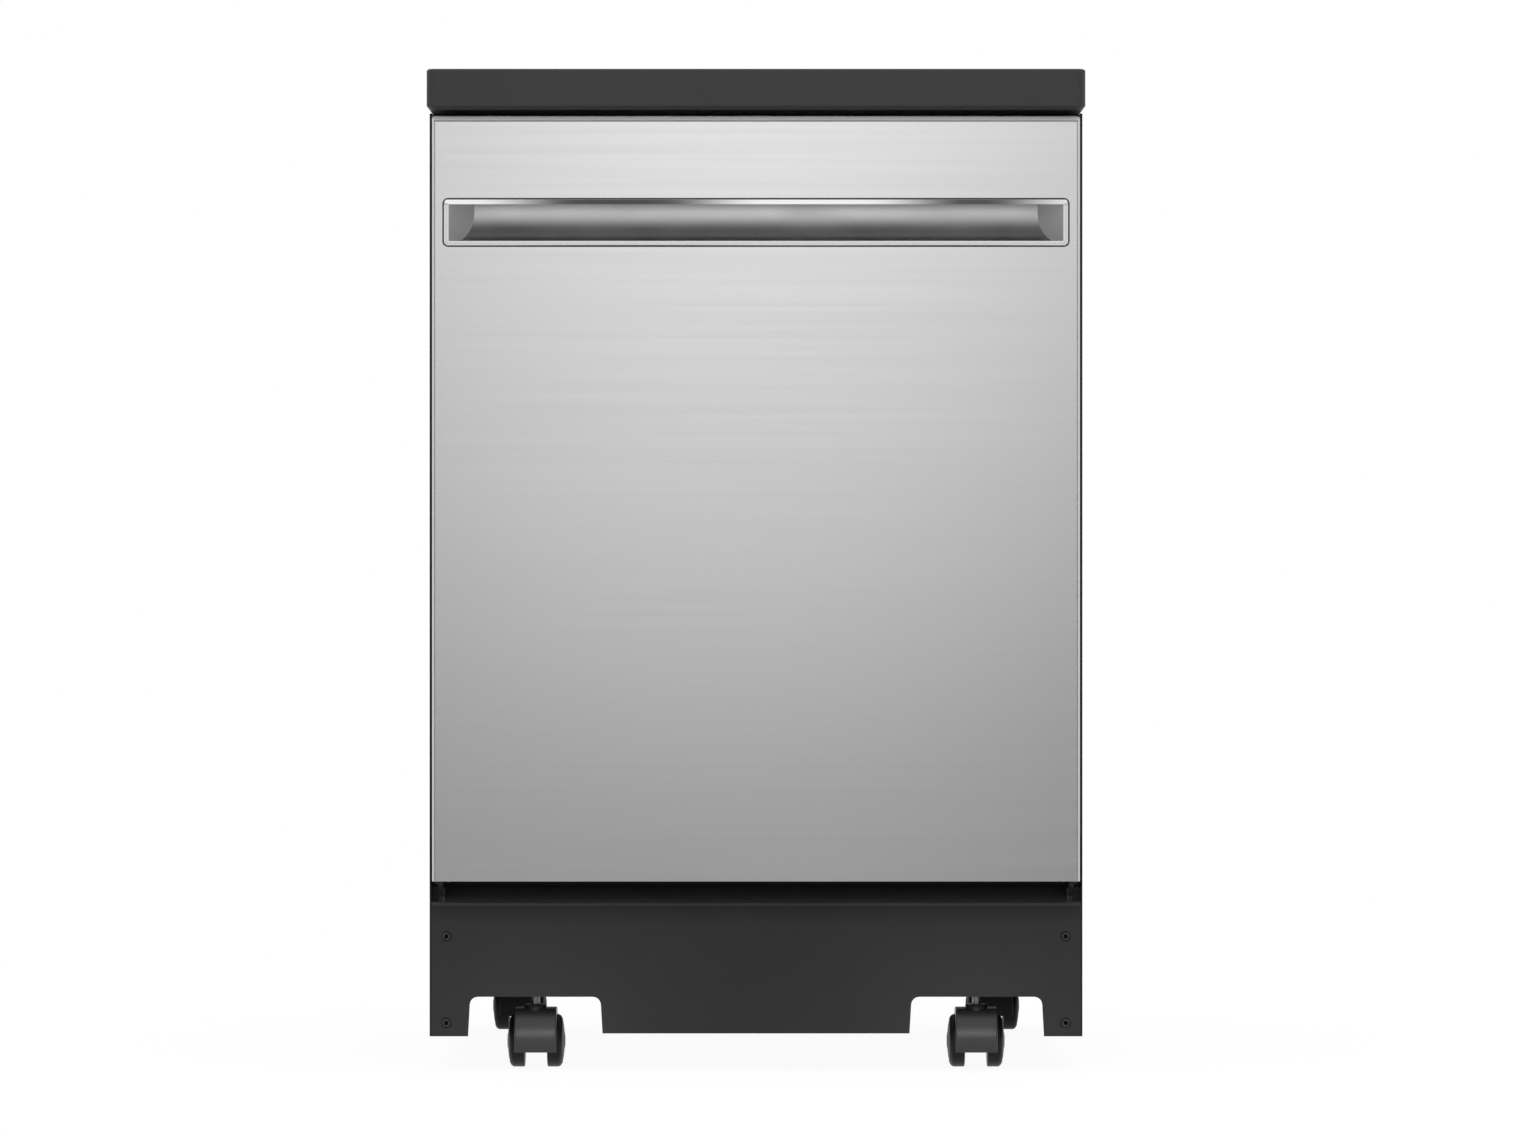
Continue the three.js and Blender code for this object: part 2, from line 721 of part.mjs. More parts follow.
// A pan-head screw pointing along +Y, its head's seat at y = 0.
function makeScrew() {
  const head = new THREE.LatheGeometry([
    new THREE.Vector2(0, 0),
    new THREE.Vector2(screwHeadRadius, 0),
    new THREE.Vector2(screwHeadRadius, screwHeadHeight / 2),
    new THREE.Vector2(screwHeadRadius * 0.7, screwHeadHeight),
    new THREE.Vector2(0, screwHeadHeight),
  ], 12).rotateX(Math.PI);
  const shank = rod("y", screwShankRadius, -screwHeadHeight / 2, screwLength, 0, 0, 8);
  const slots = [
    box(-screwSlot * 2.5, screwSlot * 2.5, -screwHeadHeight - 1, -screwHeadHeight / 2,
      -screwSlot / 2, screwSlot / 2),
    box(-screwSlot / 2, screwSlot / 2, -screwHeadHeight - 1, -screwHeadHeight / 2,
      -screwSlot * 2.5, screwSlot * 2.5),
  ];
  return cut(join(head, shank), ...slots);
}

// ----------------------------------------------------------------- tub ----
// Half of the tub's section from the floor's middle round to the ceiling's, grown outwards by wall.
function tubSection(wall) {
  const rise = ledgeZ - tubFloorZ;
  const slope = (wall * (Math.hypot(ledgeRun, rise) - ledgeRun)) / rise;
  const ledgeX = tubHalfWidth - ledgeWidth;
  const right = [
    [ledgeX - ledgeRun + slope, tubFloorZ - wall],
    [ledgeX + slope, ledgeZ - wall],
    [tubHalfWidth + wall, ledgeZ - wall],
    [tubHalfWidth + wall, tubCeilingZ + wall, tubCornerRadius + wall],
  ];
  const left = right.map(([x, z, r]) => [-x, z, r]).reverse();
  return rounded([...right, ...left]);
}

function makeTub() {
  const shell = cut(
    alongY(tubSection(tubWall), tubFrontY, tubBackY + tubWall),
    alongY(tubSection(0), tubFrontY - 1, tubBackY),
  );
  const flange = cut(
    box(
      -frameHalfWidth, frameHalfWidth, tubFrontY, tubFrontY + tubWall,
      tubFloorZ - tubLipDrop, worktopUnderZ - tubFlangeTopGap,
    ),
    alongY(
      rounded([
        [tubHalfWidth - 1, tubFloorZ + tubLipHeight],
        [tubHalfWidth - 1, tubCeilingZ - 1, tubCornerRadius],
        [1 - tubHalfWidth, tubCeilingZ - 1, tubCornerRadius],
        [1 - tubHalfWidth, tubFloorZ + tubLipHeight],
      ]),
      tubFrontY - 1, tubFrontY + tubWall + 1,
    ),
  );
  const strikeSlot = box(
    -strikeWidth / 2 - 2, strikeWidth / 2 + 2, tubFrontY - 1, tubFrontY + tubWall + 1,
    strikeZ - strikeSheet - 1, strikeZ + strikeSheet + 1,
  );
  const drain = rod("z", sumpRadius - sumpWall, tubUnderZ - 1, tubFloorZ + 1, 0, wetCentreY, 28);
  const floatHole = rod(
    "z", floatStemRadius + runningGap, tubUnderZ - 1, tubFloorZ + 1,
    floatX, tubFrontY + floatInset, 12,
  );
  return cut(join(shell, flange), strikeSlot, drain, floatHole);
}

function makeGasket() {
  const outerX = tubHalfWidth + gasketWidth + seatGap;
  const topZ = tubCeilingZ + gasketWidth / 2;
  const bottomZ = tubFloorZ + gasketBottomRise;
  const innerX = outerX - gasketWidth;
  const outline = rounded([
    [outerX, bottomZ],
    [outerX, topZ, 24],
    [-outerX, topZ, 24],
    [-outerX, bottomZ],
    [-innerX, bottomZ],
    [-innerX, topZ - gasketWidth, 16],
    [innerX, topZ - gasketWidth, 16],
    [innerX, bottomZ],
  ]);
  return alongY(outline, linerY + seatGap, tubFrontY - seatGap);
}

function makeSump() {
  const bowl = new THREE.LatheGeometry([
    [0, 0],
    [sumpRadius * 0.8, 0],
    [sumpRadius, sumpDepth * 0.2],
    [sumpRadius, sumpDepth - sumpWall],
    [sumpRadius + sumpFlange, sumpDepth - sumpWall],
    [sumpRadius + sumpFlange, sumpDepth],
    [sumpRadius - sumpWall, sumpDepth],
    [sumpRadius - sumpWall, sumpDepth * 0.2 + sumpWall],
    [sumpRadius * 0.8 - sumpWall, sumpWall],
    [0, sumpWall],
  ].map(([r, h]) => new THREE.Vector2(r, h)), 24);
  const post = join(
    rod("z", postRadius, 0.5, postTopZ - sumpBottomZ, 0, 0),
    rod("z", postCollarRadius, plateTopZ + seatGap - sumpBottomZ,
      armHubZ - seatGap - sumpBottomZ, 0, 0),
  );
  const reach = sumpRadius - sumpWall / 2;
  const ports = [
    rod("x", pumpPortRadius, -reach - pumpPortLength, -reach, 0, pumpAxisRise),
    rod("x", pumpPortRadius, reach, reach + pumpPortLength, 0, pumpAxisRise),
  ];
  const turned = bowl.rotateX(Math.PI / 2);
  return join(turned, post, ...ports).translate(0, wetCentreY, sumpBottomZ);
}

// A pump along X: the volute faces the sump's port and the motor stands behind it.
function makePump(side, voluteRadius, voluteLength, motorRadius, motorLength) {
  const start = sumpRadius - sumpWall / 2 + pumpPortLength + seatGap;
  const stations = [0, voluteLength, voluteLength + motorLength, voluteLength + motorLength + 6];
  const [a, b, c, d] = stations.map((s) => start + s);
  const pump = join(
    rod("x", voluteRadius, a, b, wetCentreY, pumpAxisZ, 24),
    rod("x", motorRadius, b - 1, c, wetCentreY, pumpAxisZ, 24),
    rod("x", motorRadius * 0.4, c - 1, d, wetCentreY, pumpAxisZ, 12),
    rod("y", voluteRadius * 0.3, wetCentreY, wetCentreY + voluteRadius * 1.5, (a + b) / 2,
      pumpAxisZ + voluteRadius * 0.5, 12),
  );
  return side > 0 ? pump : mirrored(pump);
}

// The fill valve hangs on the base frame's rear crossbar, inlet facing back.
function makeInletValve() {
  const x0 = frameHalfWidth - frameRailWidth - 3 * valveWidth;
  const y1 = frameRearY - frameRailWidth - seatGap;
  const z0 = frameBottomZ;
  return join(
    box(x0, x0 + valveWidth, y1 - valveDepth, y1, z0, z0 + valveHeight),
    rod("z", valveWidth * 0.3, z0 + valveHeight - 1, z0 + valveHeight * 1.7,
      x0 + valveWidth / 2, y1 - valveDepth * 0.65),
    rod("x", valveWidth * 0.22, x0 - 16, x0 + 1, y1 - valveDepth / 2, z0 + valveHeight / 2, 12),
  );
}

function makeFilterPlate() {
  const disc = rod(
    "z", filterPlateRadius, tubFloorZ + seatGap, plateTopZ, 0, wetCentreY, 28,
  );
  return cut(
    disc,
    rod("z", postRadius + runningGap, tubFloorZ - 1, plateTopZ + 1, 0, wetCentreY),
    rod("z", filterRadius + runningGap, tubFloorZ - 1, plateTopZ + 1, 0, wetCentreY + filterOffset, 24),
  );
}

// The twist-out filter, standing in the sump on its own flange.
function makeFilterCylinder() {
  const y = wetCentreY + filterOffset;
  const bottomZ = sumpBottomZ + sumpDepth * 0.2 + sumpWall;
  return join(
    rod("z", filterRadius, bottomZ, plateTopZ + seatGap + 1, 0, y, 24),
    rod("z", filterRadius + filterFlange, plateTopZ + seatGap, plateTopZ + seatGap + 2, 0, y, 24),
    box(-filterRadius * 0.8, filterRadius * 0.8, y - 3, y + 3, plateTopZ, plateTopZ + filterRise),
  );
}

// Hub and two tapered blades about the origin, hub bored from below or right through.
function makeSprayArm(boreRadius, boreDepth) {
  const bladeZ = armBladeZ - armHubZ;
  const outline = rounded([
    [-armReach, -armTipWidth / 2, armTipWidth / 3],
    [0, -armRootWidth / 2],
    [armReach, -armTipWidth / 2, armTipWidth / 3],
    [armReach, armTipWidth / 2, armTipWidth / 3],
    [0, armRootWidth / 2],
    [-armReach, armTipWidth / 2, armTipWidth / 3],
  ]);
  return cut(
    join(
      alongZ(outline, bladeZ, bladeZ + armThickness),
      rod("z", armHubRadius, 0, armHubHeight, 0, 0, 24),
    ),
    rod("z", boreRadius, -1, boreDepth, 0, 0, 16),
  );
}

// The feed pipe up the rear wall and along the ceiling, with a dock for the upper rack.
function makeSprayRiser() {
  const topZ = tubCeilingZ - riserRadius - riserWallGap;
  return join(
    rod("z", riserRadius, tubFloorZ + seatGap, topZ, 0, riserY, 14),
    rod("z", riserRadius * 1.25, tubFloorZ + seatGap, tubFloorZ + riserRadius, 0, riserY, 14),
    rod("y", riserRadius, wetCentreY, riserY + riserRadius * 0.8, 0, topZ, 14),
    rod("z", ceilingSprayRadius, topZ - riserRadius - 6, topZ - riserRadius + 2, 0, wetCentreY, 20),
    rod("z", riserRadius, topZ - riserRadius, topZ, 0, wetCentreY, 14),
    rod("y", dockRadius, dockFaceY, riserY, 0, feedZ, 14),
    ...[topZ - riserClipInset - riserClipHeight, tubFloorZ + riserClipInset].map((z) => box(
      -riserRadius, riserRadius, riserY, tubBackY - seatGap, z, z + riserClipHeight,
    )),
  );
}

function makeHeater() {
  const z0 = tubFloorZ + heaterRise;
  const ring = (inset) => rectangle(
    inset - heaterHalfWidth, heaterHalfWidth - inset,
    wetCentreY - heaterHalfDepth + inset, wetCentreY + heaterHalfDepth - inset,
    heaterCorner - inset, 6,
  );
  const legY = wetCentreY + heaterHalfDepth - heaterTube / 2;
  const legs = [-1, 1].map((s) => rod(
    "z", heaterLegRadius, tubFloorZ + seatGap, z0 + heaterTube / 2,
    (s * heaterLegSpacing) / 2 + heaterLegSpacing * 1.5, legY, 12,
  ));
  const feet = [-1, 1].map((s) => rod(
    "z", heaterLegRadius / 2, tubFloorZ + seatGap, z0 + heaterTube / 2,
    s * (heaterHalfWidth - heaterTube / 2), wetCentreY, 8,
  ));
  return join(alongZ(ring(0), z0, z0 + heaterTube, [ring(heaterTube)]), ...legs, ...feet);
}

function makeFloat() {
  const y = tubFrontY + floatInset;
  return join(
    rod("z", floatRadius, tubFloorZ + seatGap, tubFloorZ + floatHeight - 5, floatX, y, 20),
    rod("z", floatRadius * 0.8, tubFloorZ + floatHeight - 6, tubFloorZ + floatHeight, floatX, y, 20),
    rod("z", floatStemRadius, tubUnderZ - floatStemDrop, tubFloorZ + 2, floatX, y, 12),
  );
}

function makeStrike() {
  const footZ = tubCeilingZ + tubWall + seatGap;
  const y0 = tubFrontY + tubWall + seatGap;
  return join(
    box(-strikeWidth, strikeWidth, y0, y0 + strikeFoot, footZ, footZ + strikeSheet),
    box(-strikeWidth / 2, strikeWidth / 2, y0, y0 + strikeSheet, footZ, strikeZ + strikeSheet / 2),
    box(-strikeWidth / 2, strikeWidth / 2, tubFrontY - strikeReach, y0 + strikeSheet,
      strikeZ - strikeSheet / 2, strikeZ + strikeSheet / 2),
  );
}

// A channel on the tub's right wall, open towards the rack.
function makeRail() {
  const outer = tubHalfWidth - seatGap;
  const inner = outer - railDepth;
  const y0 = tubFrontY + railFrontInset;
  const y1 = tubBackY - railFrontInset;
  const z0 = railZ - railHeight / 2;
  const z1 = railZ + railHeight / 2;
  const slot = sliderHeight / 2 + runningGap;
  return join(
    cut(
      box(inner, outer, y0, y1, z0, z1),
      box(inner + railSheet, outer - railSheet, y0 - 1, y1 + 1, z0 + railSheet, z1 - railSheet),
      box(inner - 1, inner + railSheet + 1, y0 - 1, y1 - railSheet, railZ - slot, railZ + slot),
    ),
    box(inner, outer, y0, y1, railZ - slot - railSheet, railZ - slot),
  );
}

// --------------------------------------------------------------- racks ----
// A welded wire basket: wires run under the load and up all four walls to two rims.
function wireBasket(floorZ, wallHeight) {
  const half = rackHalfWidth;
  const floorTop = floorZ + wire;
  const rimZ = floorZ + wallHeight;
  const places = (low, high, count) => spread(low, high - wire, count).map((a) => [a, a + wire]);
  const lengthwise = places(-half, half, rackLengthwise);
  const crosswise = places(rackFrontY, rackRearY, rackCrosswise);
  const parts = [];
  for (const [x0, x1] of lengthwise) {
    parts.push(box(x0, x1, rackFrontY, rackRearY, floorZ, floorTop));
    parts.push(box(x0, x1, rackFrontY, rackFrontY + wire, floorZ, rimZ));
    parts.push(box(x0, x1, rackRearY - wire, rackRearY, floorZ, rimZ));
  }
  for (const [y0, y1] of crosswise) {
    parts.push(box(-half, half, y0, y1, floorZ, floorTop));
    parts.push(box(-half, -half + wire, y0, y1, floorZ, rimZ));
    parts.push(box(half - wire, half, y0, y1, floorZ, rimZ));
  }
  for (const z of [floorZ + wallHeight * 0.45, rimZ - wire]) {
    parts.push(cut(
      box(-half, half, rackFrontY, rackRearY, z, z + wire),
      box(-half + wire, half - wire, rackFrontY + wire, rackRearY - wire, z - 1, z + wire + 1),
    ));
  }
  return join(...parts);
}

// Upright tines welded on the floor wires, for plates.
function tines(floorZ, rowOffset) {
  const crosswise = spread(rackFrontY, rackRearY - wire, rackCrosswise);
  const parts = [];
  for (let row = 0; row < tineRows; row += 1) {
    const x = rowOffset + (row * (rackHalfWidth - wire)) / rackLengthwise * 2;
    for (const y of crosswise.slice(1, -1)) {
      parts.push(box(x, x + wire, y, y + wire, floorZ + wire / 2, floorZ + tineHeight));
    }
  }
  return parts;
}

function makeLowerRack() {
  const rollerZ = ledgeZ + seatGap + rollerRadius;
  const rollerX = tubHalfWidth - ledgeWidth / 2 - rollerWidth / 2;
  const frontY = linerY + rollerSetback + rollerRadius;
  const rearY = rackRearY - rollerRearInset;
  const legs = [frontY, rearY].flatMap((y) => [-1, 1].flatMap((s) => {
    const ends = [s * (rackHalfWidth - wire), s * (rollerX + rollerWidth)].sort((a, b) => a - b);
    const roll = [s * rollerX, s * (rollerX + rollerWidth)].sort((a, b) => a - b);
    return [
      box(
        Math.min(s * (rackHalfWidth - wire), s * rackHalfWidth),
        Math.max(s * (rackHalfWidth - wire), s * rackHalfWidth),
        y - wire, y + wire, rollerZ - wire, lowerFloorZ + lowerWallHeight * 0.45 + wire,
      ),
      rod("x", wire, ends[0], ends[1], y, rollerZ, 8),
      rod("x", rollerRadius, roll[0], roll[1], y, rollerZ, 16),
    ];
  }));
  return join(
    wireBasket(lowerFloorZ, lowerWallHeight), ...tines(lowerFloorZ, rackHalfWidth * 0.3), ...legs,
  );
}

function makeUpperRack() {
  const railInner = tubHalfWidth - seatGap - railDepth;
  const sliderOuter = railInner + railDepth - railSheet - sliderSideGap;
  const y0 = tubFrontY + railFrontInset + 4;
  const y1 = tubBackY - railFrontInset - railSheet - runningGap - 4;
  const slider = (s) => box(
    Math.min(s * (rackHalfWidth - wire), s * sliderOuter),
    Math.max(s * (rackHalfWidth - wire), s * sliderOuter),
    Math.max(y0, rackFrontY), Math.min(y1, rackRearY),
    railZ - sliderHeight / 2, railZ + sliderHeight / 2,
  );
  return join(
    wireBasket(upperFloorZ, upperWallHeight), slider(1), slider(-1),
    ...tines(upperFloorZ, -rackHalfWidth * 0.6),
  );
}

// The pipe slung under the upper rack, from the riser's dock to the upper arm's spout.
function makeFeedTube() {
  const spoutZ = upperArmHubZ - 2;
  return join(
    rod("y", riserRadius, wetCentreY - riserRadius, dockFaceY - seatGap, 0, feedZ, 14),
    rod("z", riserRadius, spoutZ, feedZ, 0, wetCentreY, 14),
    rod("z", riserRadius + 4, spoutZ - 3, spoutZ + 2 - seatGap, 0, wetCentreY, 14),
    box(
      -riserRadius, riserRadius, wetCentreY + feedHangerSetback,
      wetCentreY + feedHangerSetback + feedHangerDepth, feedZ, upperFloorZ - seatGap,
    ),
  );
}

function makeBasket() {
  const x0 = -basketWidth / 2;
  const y0 = rackFrontY + wire + seatGap;
  const z0 = lowerFloorZ + wire + seatGap;
  const z1 = z0 + basketHeight;
  const cellWidth = (basketWidth - basketWall * (basketCells + 1)) / basketCells;
  const cells = Array.from({ length: basketCells }, (_, i) => {
    const left = x0 + basketWall + i * (cellWidth + basketWall);
    return box(left, left + cellWidth, y0 + basketWall, y0 + basketDepth - basketWall,
      z0 + basketWall, z1 + 1);
  });
  const middleY = y0 + basketDepth / 2;
  const handle = cut(
    box(-basketWidth / 4, basketWidth / 4, middleY - 3, middleY + 3, z0, z1 + basketHandleRise),
    box(-basketWidth / 4 + 8, basketWidth / 4 - 8, middleY - 4, middleY + 4,
      z0 + basketWall, z1 + basketHandleRise - 8),
  );
  return join(cut(box(x0, -x0, y0, y0 + basketDepth, z0, z1), ...cells), handle);
}

// ---------------------------------------------------------------- door ----
function makeOuterPanel() {
  const side = [
    [doorFrontY, doorBottomZ],
    [skinRearY, doorBottomZ],
    [skinRearY, doorTopZ],
    [doorFrontY + doorTopBevelDepth, doorTopZ],
    [doorFrontY, doorTopZ - doorTopBevelHeight],
  ].map(([y, z]) => new THREE.Vector2(y, z));
  const plan = rounded([
    [-doorHalfWidth, doorFrontY, doorEdgeRadius],
    [doorHalfWidth, doorFrontY, doorEdgeRadius],
    [doorHalfWidth, skinRearY + 1],
    [-doorHalfWidth, skinRearY + 1],
  ]);
  const outer = common(
    alongX(side, -doorHalfWidth, doorHalfWidth),
    alongZ(plan, doorBottomZ - 1, doorTopZ + 1),
  );
  const hollow = alongX([
    [skinInnerY, doorBottomZ + doorSkin],
    [skinRearY + 1, doorBottomZ + doorSkin],
    [skinRearY + 1, doorTopZ - doorSkin],
    [skinInnerY + doorTopBevelDepth, doorTopZ - doorSkin],
    [skinInnerY, doorTopZ - doorTopBevelHeight - doorSkin],
  ].map(([y, z]) => new THREE.Vector2(y, z)), -skinInnerX, skinInnerX);
  const topOpening = box(
    -skinInnerX, skinInnerX, doorFrontY + doorTopReturn, skinRearY + 1,
    doorTopZ - 2 * doorSkin, doorTopZ + 1,
  );
  const reliefStart = earInnerX - springTurns * springWire - 6;
  const relief = box(
    reliefStart, skinInnerX, hingeY - hingeEyeRadius - 12, skinRearY + 1,
    doorBottomZ - 1, doorBottomZ + 2 * doorSkin,
  );
  const holeHalf = pocketWidth / 2 + seatGap;
  const topZ = doorTopZ - pocketTopDrop;
  const hole = alongY(
    rectangle(-holeHalf, holeHalf, topZ - pocketHeight - seatGap, topZ + seatGap,
      pocketCornerRadius + seatGap),
    doorFrontY - 1, skinInnerY + 1,
  );
  return cut(outer, hollow, topOpening, relief, mirrored(relief), hole);
}

// The recessed grip: a flush rim round a scoop that rises behind its upper lip.
function makeHandlePocket() {
  const half = pocketWidth / 2;
  const topZ = doorTopZ - pocketTopDrop;
  const bottomZ = topZ - pocketHeight;
  const mouthTop = topZ - pocketRim;
  const mouthBottom = bottomZ + pocketRim;
  const gripTop = mouthTop + pocketGripRise;
  const backY = doorFrontY + pocketDepth;
  const mouthHalf = half - pocketRim;
  const rimBackY = skinInnerY + seatGap;
  const rim = alongY(
    rectangle(-half, half, bottomZ, topZ, pocketCornerRadius), doorFrontY, rimBackY + pocketWall,
  );
  const body = box(
    -mouthHalf - pocketWall, mouthHalf + pocketWall, rimBackY, backY,
    mouthBottom - pocketWall, gripTop + pocketWall,
  );
  const retainer = alongY(
    rectangle(-half - pocketRetainer, half + pocketRetainer,
      bottomZ - pocketRetainer, topZ + pocketRetainer, pocketCornerRadius),
    rimBackY, rimBackY + pocketWall,
  );
  const scoopBack = backY - pocketWall;
  const curve = spread(0, 1, 6).map((t) => {
    const angle = (t * Math.PI) / 2;
    return [
      doorFrontY + (scoopBack - doorFrontY) * Math.sin(angle),
      mouthBottom + (mouthTop - mouthBottom) * 0.75 * (1 - Math.cos(angle)),
    ];
  });
  const profile = [
    [doorFrontY - 1, mouthBottom - 0.2],
    ...curve,
    [scoopBack, gripTop - 5],
    [scoopBack - 5, gripTop],
    [doorFrontY + pocketLipDepth, gripTop],
    [doorFrontY + pocketLipDepth, mouthTop],
    [doorFrontY - 1, mouthTop],
  ];
  const mainHalf = mouthHalf - pocketEndSlope;
  const scoop = alongX(
    profile.map(([y, z]) => new THREE.Vector2(y, z)), -mainHalf, mainHalf,
  );
  const endScoop = (s) => {
    const section = [
      [doorFrontY - 1, mouthBottom - 0.2], ...curve, [scoopBack, mouthTop], [doorFrontY - 1, mouthTop],
    ];
    const ring = (x, share) => section.map(([y, z]) => new THREE.Vector3(
      x, y < doorFrontY ? y : doorFrontY + (y - doorFrontY) * share, z,
    ));
    const rings = [ring(s * (mainHalf - 1), 1), ring(s * mouthHalf, 0.2)];
    if (s < 0) rings.reverse();
    return loft(rings, (r) => r.map((p) => new THREE.Vector2(p.y, p.z)));
  };
  return cut(join(rim, body, retainer), scoop, endScoop(1), endScoop(-1));
}

function makeInnerPanel() {
  const half = linerHalfWidth;
  const frontY = linerY - linerDepth;
  const pan = cut(
    alongY(rectangle(-half, half, linerBottomZ, linerTopZ, linerCornerRadius), frontY, linerY),
    alongY(
      rectangle(-half + linerSheet, half - linerSheet, linerBottomZ + linerSheet,
        linerTopZ - linerSheet, linerCornerRadius - linerSheet),
      frontY - 1, linerY - linerSheet,
    ),
  );
  const hole = box(
    -dispenserWidth / 2 + 6 - seatGap, dispenserWidth / 2 - 6 + seatGap, frontY, linerY + 1,
    dispenserBottomZ + 6 - seatGap, dispenserBottomZ + dispenserHeight - 6 + seatGap,
  );
  return cut(pan, hole);
}

function makeFascia() {
  const half = skinInnerX - seatGap;
  const y0 = doorFrontY + doorTopReturn + seatGap;
  const y1 = linerY - 1;
  const shell = cut(
    box(-half, half, y0, y1, fasciaBottomZ, doorTopZ),
    box(-half + fasciaWall, half - fasciaWall, y0 + fasciaWall, y1 - fasciaWall,
      fasciaBottomZ - 1, doorTopZ - fasciaWall),
  );
  const slot = box(
    -latchSlotWidth / 2, latchSlotWidth / 2, y1 - fasciaWall - 1, y1 + 1,
    strikeZ - latchSlotHeight / 2, strikeZ + latchSlotHeight / 2,
  );
  const buttonY = (y0 + y1) / 2;
  const holes = [-1, 1].map((s) => alongZ(
    rectangle(
      s * buttonX - buttonWidth / 2 - runningGap, s * buttonX + buttonWidth / 2 + runningGap,
      buttonY - buttonDepth / 2 - runningGap, buttonY + buttonDepth / 2 + runningGap, 3,
    ),
    doorTopZ - fasciaWall - 1, doorTopZ + 1,
  ));
  return cut(shell, slot, ...holes);
}

// A push button about its own middle, its top buttonProud above z = 0.
function makeButton() {
  const w = buttonWidth / 2;
  const d = buttonDepth / 2;
  const flangeTop = -fasciaWall - seatGap;
  return join(
    alongZ(rectangle(-w, w, -d, d, 2.7), flangeTop - 1, buttonProud),
    alongZ(rectangle(-w - buttonFlange, w + buttonFlange, -d - buttonFlange, d + buttonFlange, 3),
      flangeTop - 2, flangeTop),
  );
}

// Body with a detergent cup on the left and the rinse aid filler on the right.
function makeDispenserBody() {
  const half = dispenserWidth / 2;
  const z0 = dispenserBottomZ;
  const z1 = z0 + dispenserHeight;
  const faceY = linerY + seatGap + dispenserProud;
  const flange = alongY(rectangle(-half, half, z0, z1, 8), linerY + seatGap, faceY);
  const body = box(-half + 6, half - 6, linerY - dispenserDepth, linerY + seatGap + 1, z0 + 6, z1 - 6);
  const cupX = -half + cupInset;
  const cupZ = (z0 + z1 - cupHeight) / 2;
  const cup = alongY(
    rectangle(cupX, cupX + cupWidth, cupZ, cupZ + cupHeight, 6), faceY - cupDepth, faceY + 1,
  );
  const filler = rod(
    "y", rinseNeckRadius + runningGap, faceY - cupDepth, faceY + 1, half - rinseInset, (z0 + z1) / 2, 20,
  );
  const lidTop = cupZ + cupHeight + lidOverlap + runningGap;
  const lidBottom = cupZ - lidOverlap - runningGap;
  const rails = [[lidTop, lidTop + lidRail], [lidBottom - lidRail, lidBottom]].map(([a, b]) => box(
    cupX - lidOverlap, cupX + cupWidth + lidOverlap + lidTravel, faceY - 1,
    faceY + seatGap + lidThickness, a, b,
  ));
  return join(cut(join(flange, body), cup, filler), ...rails);
}

function makeDispenserLid() {
  const half = dispenserWidth / 2;
  const faceY = linerY + seatGap + dispenserProud + seatGap;
  const cupX = -half + cupInset;
  const cupZ = dispenserBottomZ + (dispenserHeight - cupHeight) / 2;
  const lid = alongY(
    rectangle(cupX - lidOverlap, cupX + cupWidth + lidOverlap, cupZ - lidOverlap,
      cupZ + cupHeight + lidOverlap, 5),
    faceY, faceY + lidThickness,
  );
  const grip = box(cupX + 6, cupX + 12, faceY, faceY + lidThickness + 3, cupZ + 12, cupZ + cupHeight - 12);
  return join(lid, grip);
}

function makeRinseCap() {
  const y = linerY + seatGap + dispenserProud + seatGap;
  return join(
    rod("y", rinseCapRadius, 0, rinseCapHeight, 0, 0, 24),
    rod("y", rinseNeckRadius, -cupDepth * 0.6, 1, 0, 0, 20),
    box(-rinseCapRadius * 0.75, rinseCapRadius * 0.75, rinseCapHeight - 1, rinseCapHeight + 4, -2.5, 2.5),
  ).translate(0, y, 0);
}

// The right hinge: an arm inside the door's side, with the pin that turns in the frame's ear.
function makeHinge() {
  const top = hingeZ + hingeArmHeight;
  const arm = alongX(
    rounded([
      [hingeY - hingeEyeRadius, hingeZ - hingeEyeRadius, 6],
      [hingeY + hingeEyeRadius, hingeZ - hingeEyeRadius, 6],
      [hingeY + hingeEyeRadius + 4, hingeZ + 24, 4],
      [skinRearY - seatGap, hingeZ + 34],
      [skinRearY - seatGap, top],
      [skinRearY - seatGap - hingeArmWidth, top],
      [skinRearY - seatGap - hingeArmWidth, hingeZ + 30, 6],
    ], 3),
    armInnerX, armOuterX,
  );
  const pinEnd = earInnerX - 2 * seatGap - springTurns * springWire - 2;
  const pin = rod("x", hingePinRadius, pinEnd, armInnerX + 1, hingeY, hingeZ, 14);
  return join(arm, pin);
}

// The right counterbalance spring, wound on the hinge pin with its tail under the frame's ear.
function makeSpring() {
  const inner = hingePinRadius + runningGap;
  const outer = inner + springWire;
  const start = earInnerX - seatGap - springTurns * springWire;
  const profile = [new THREE.Vector2(inner, 0)];
  for (let turn = 0; turn < springTurns; turn += 1) {
    profile.push(
      new THREE.Vector2(outer - springWire * 0.3, turn * springWire),
      new THREE.Vector2(outer, (turn + 0.5) * springWire),
    );
  }
  profile.push(
    new THREE.Vector2(outer - springWire * 0.3, springTurns * springWire),
    new THREE.Vector2(inner, springTurns * springWire),
    new THREE.Vector2(inner, 0),
  );
  const coil = new THREE.LatheGeometry(profile, 14).rotateZ(-Math.PI / 2);
  const tail = rod(
    "y", springWire / 2, 0, frameFrontY - hingeY + frameSheet,
    springWire, -outer + springWire / 2, 8,
  );
  return join(coil, tail).translate(start, hingeY, hingeZ);
}

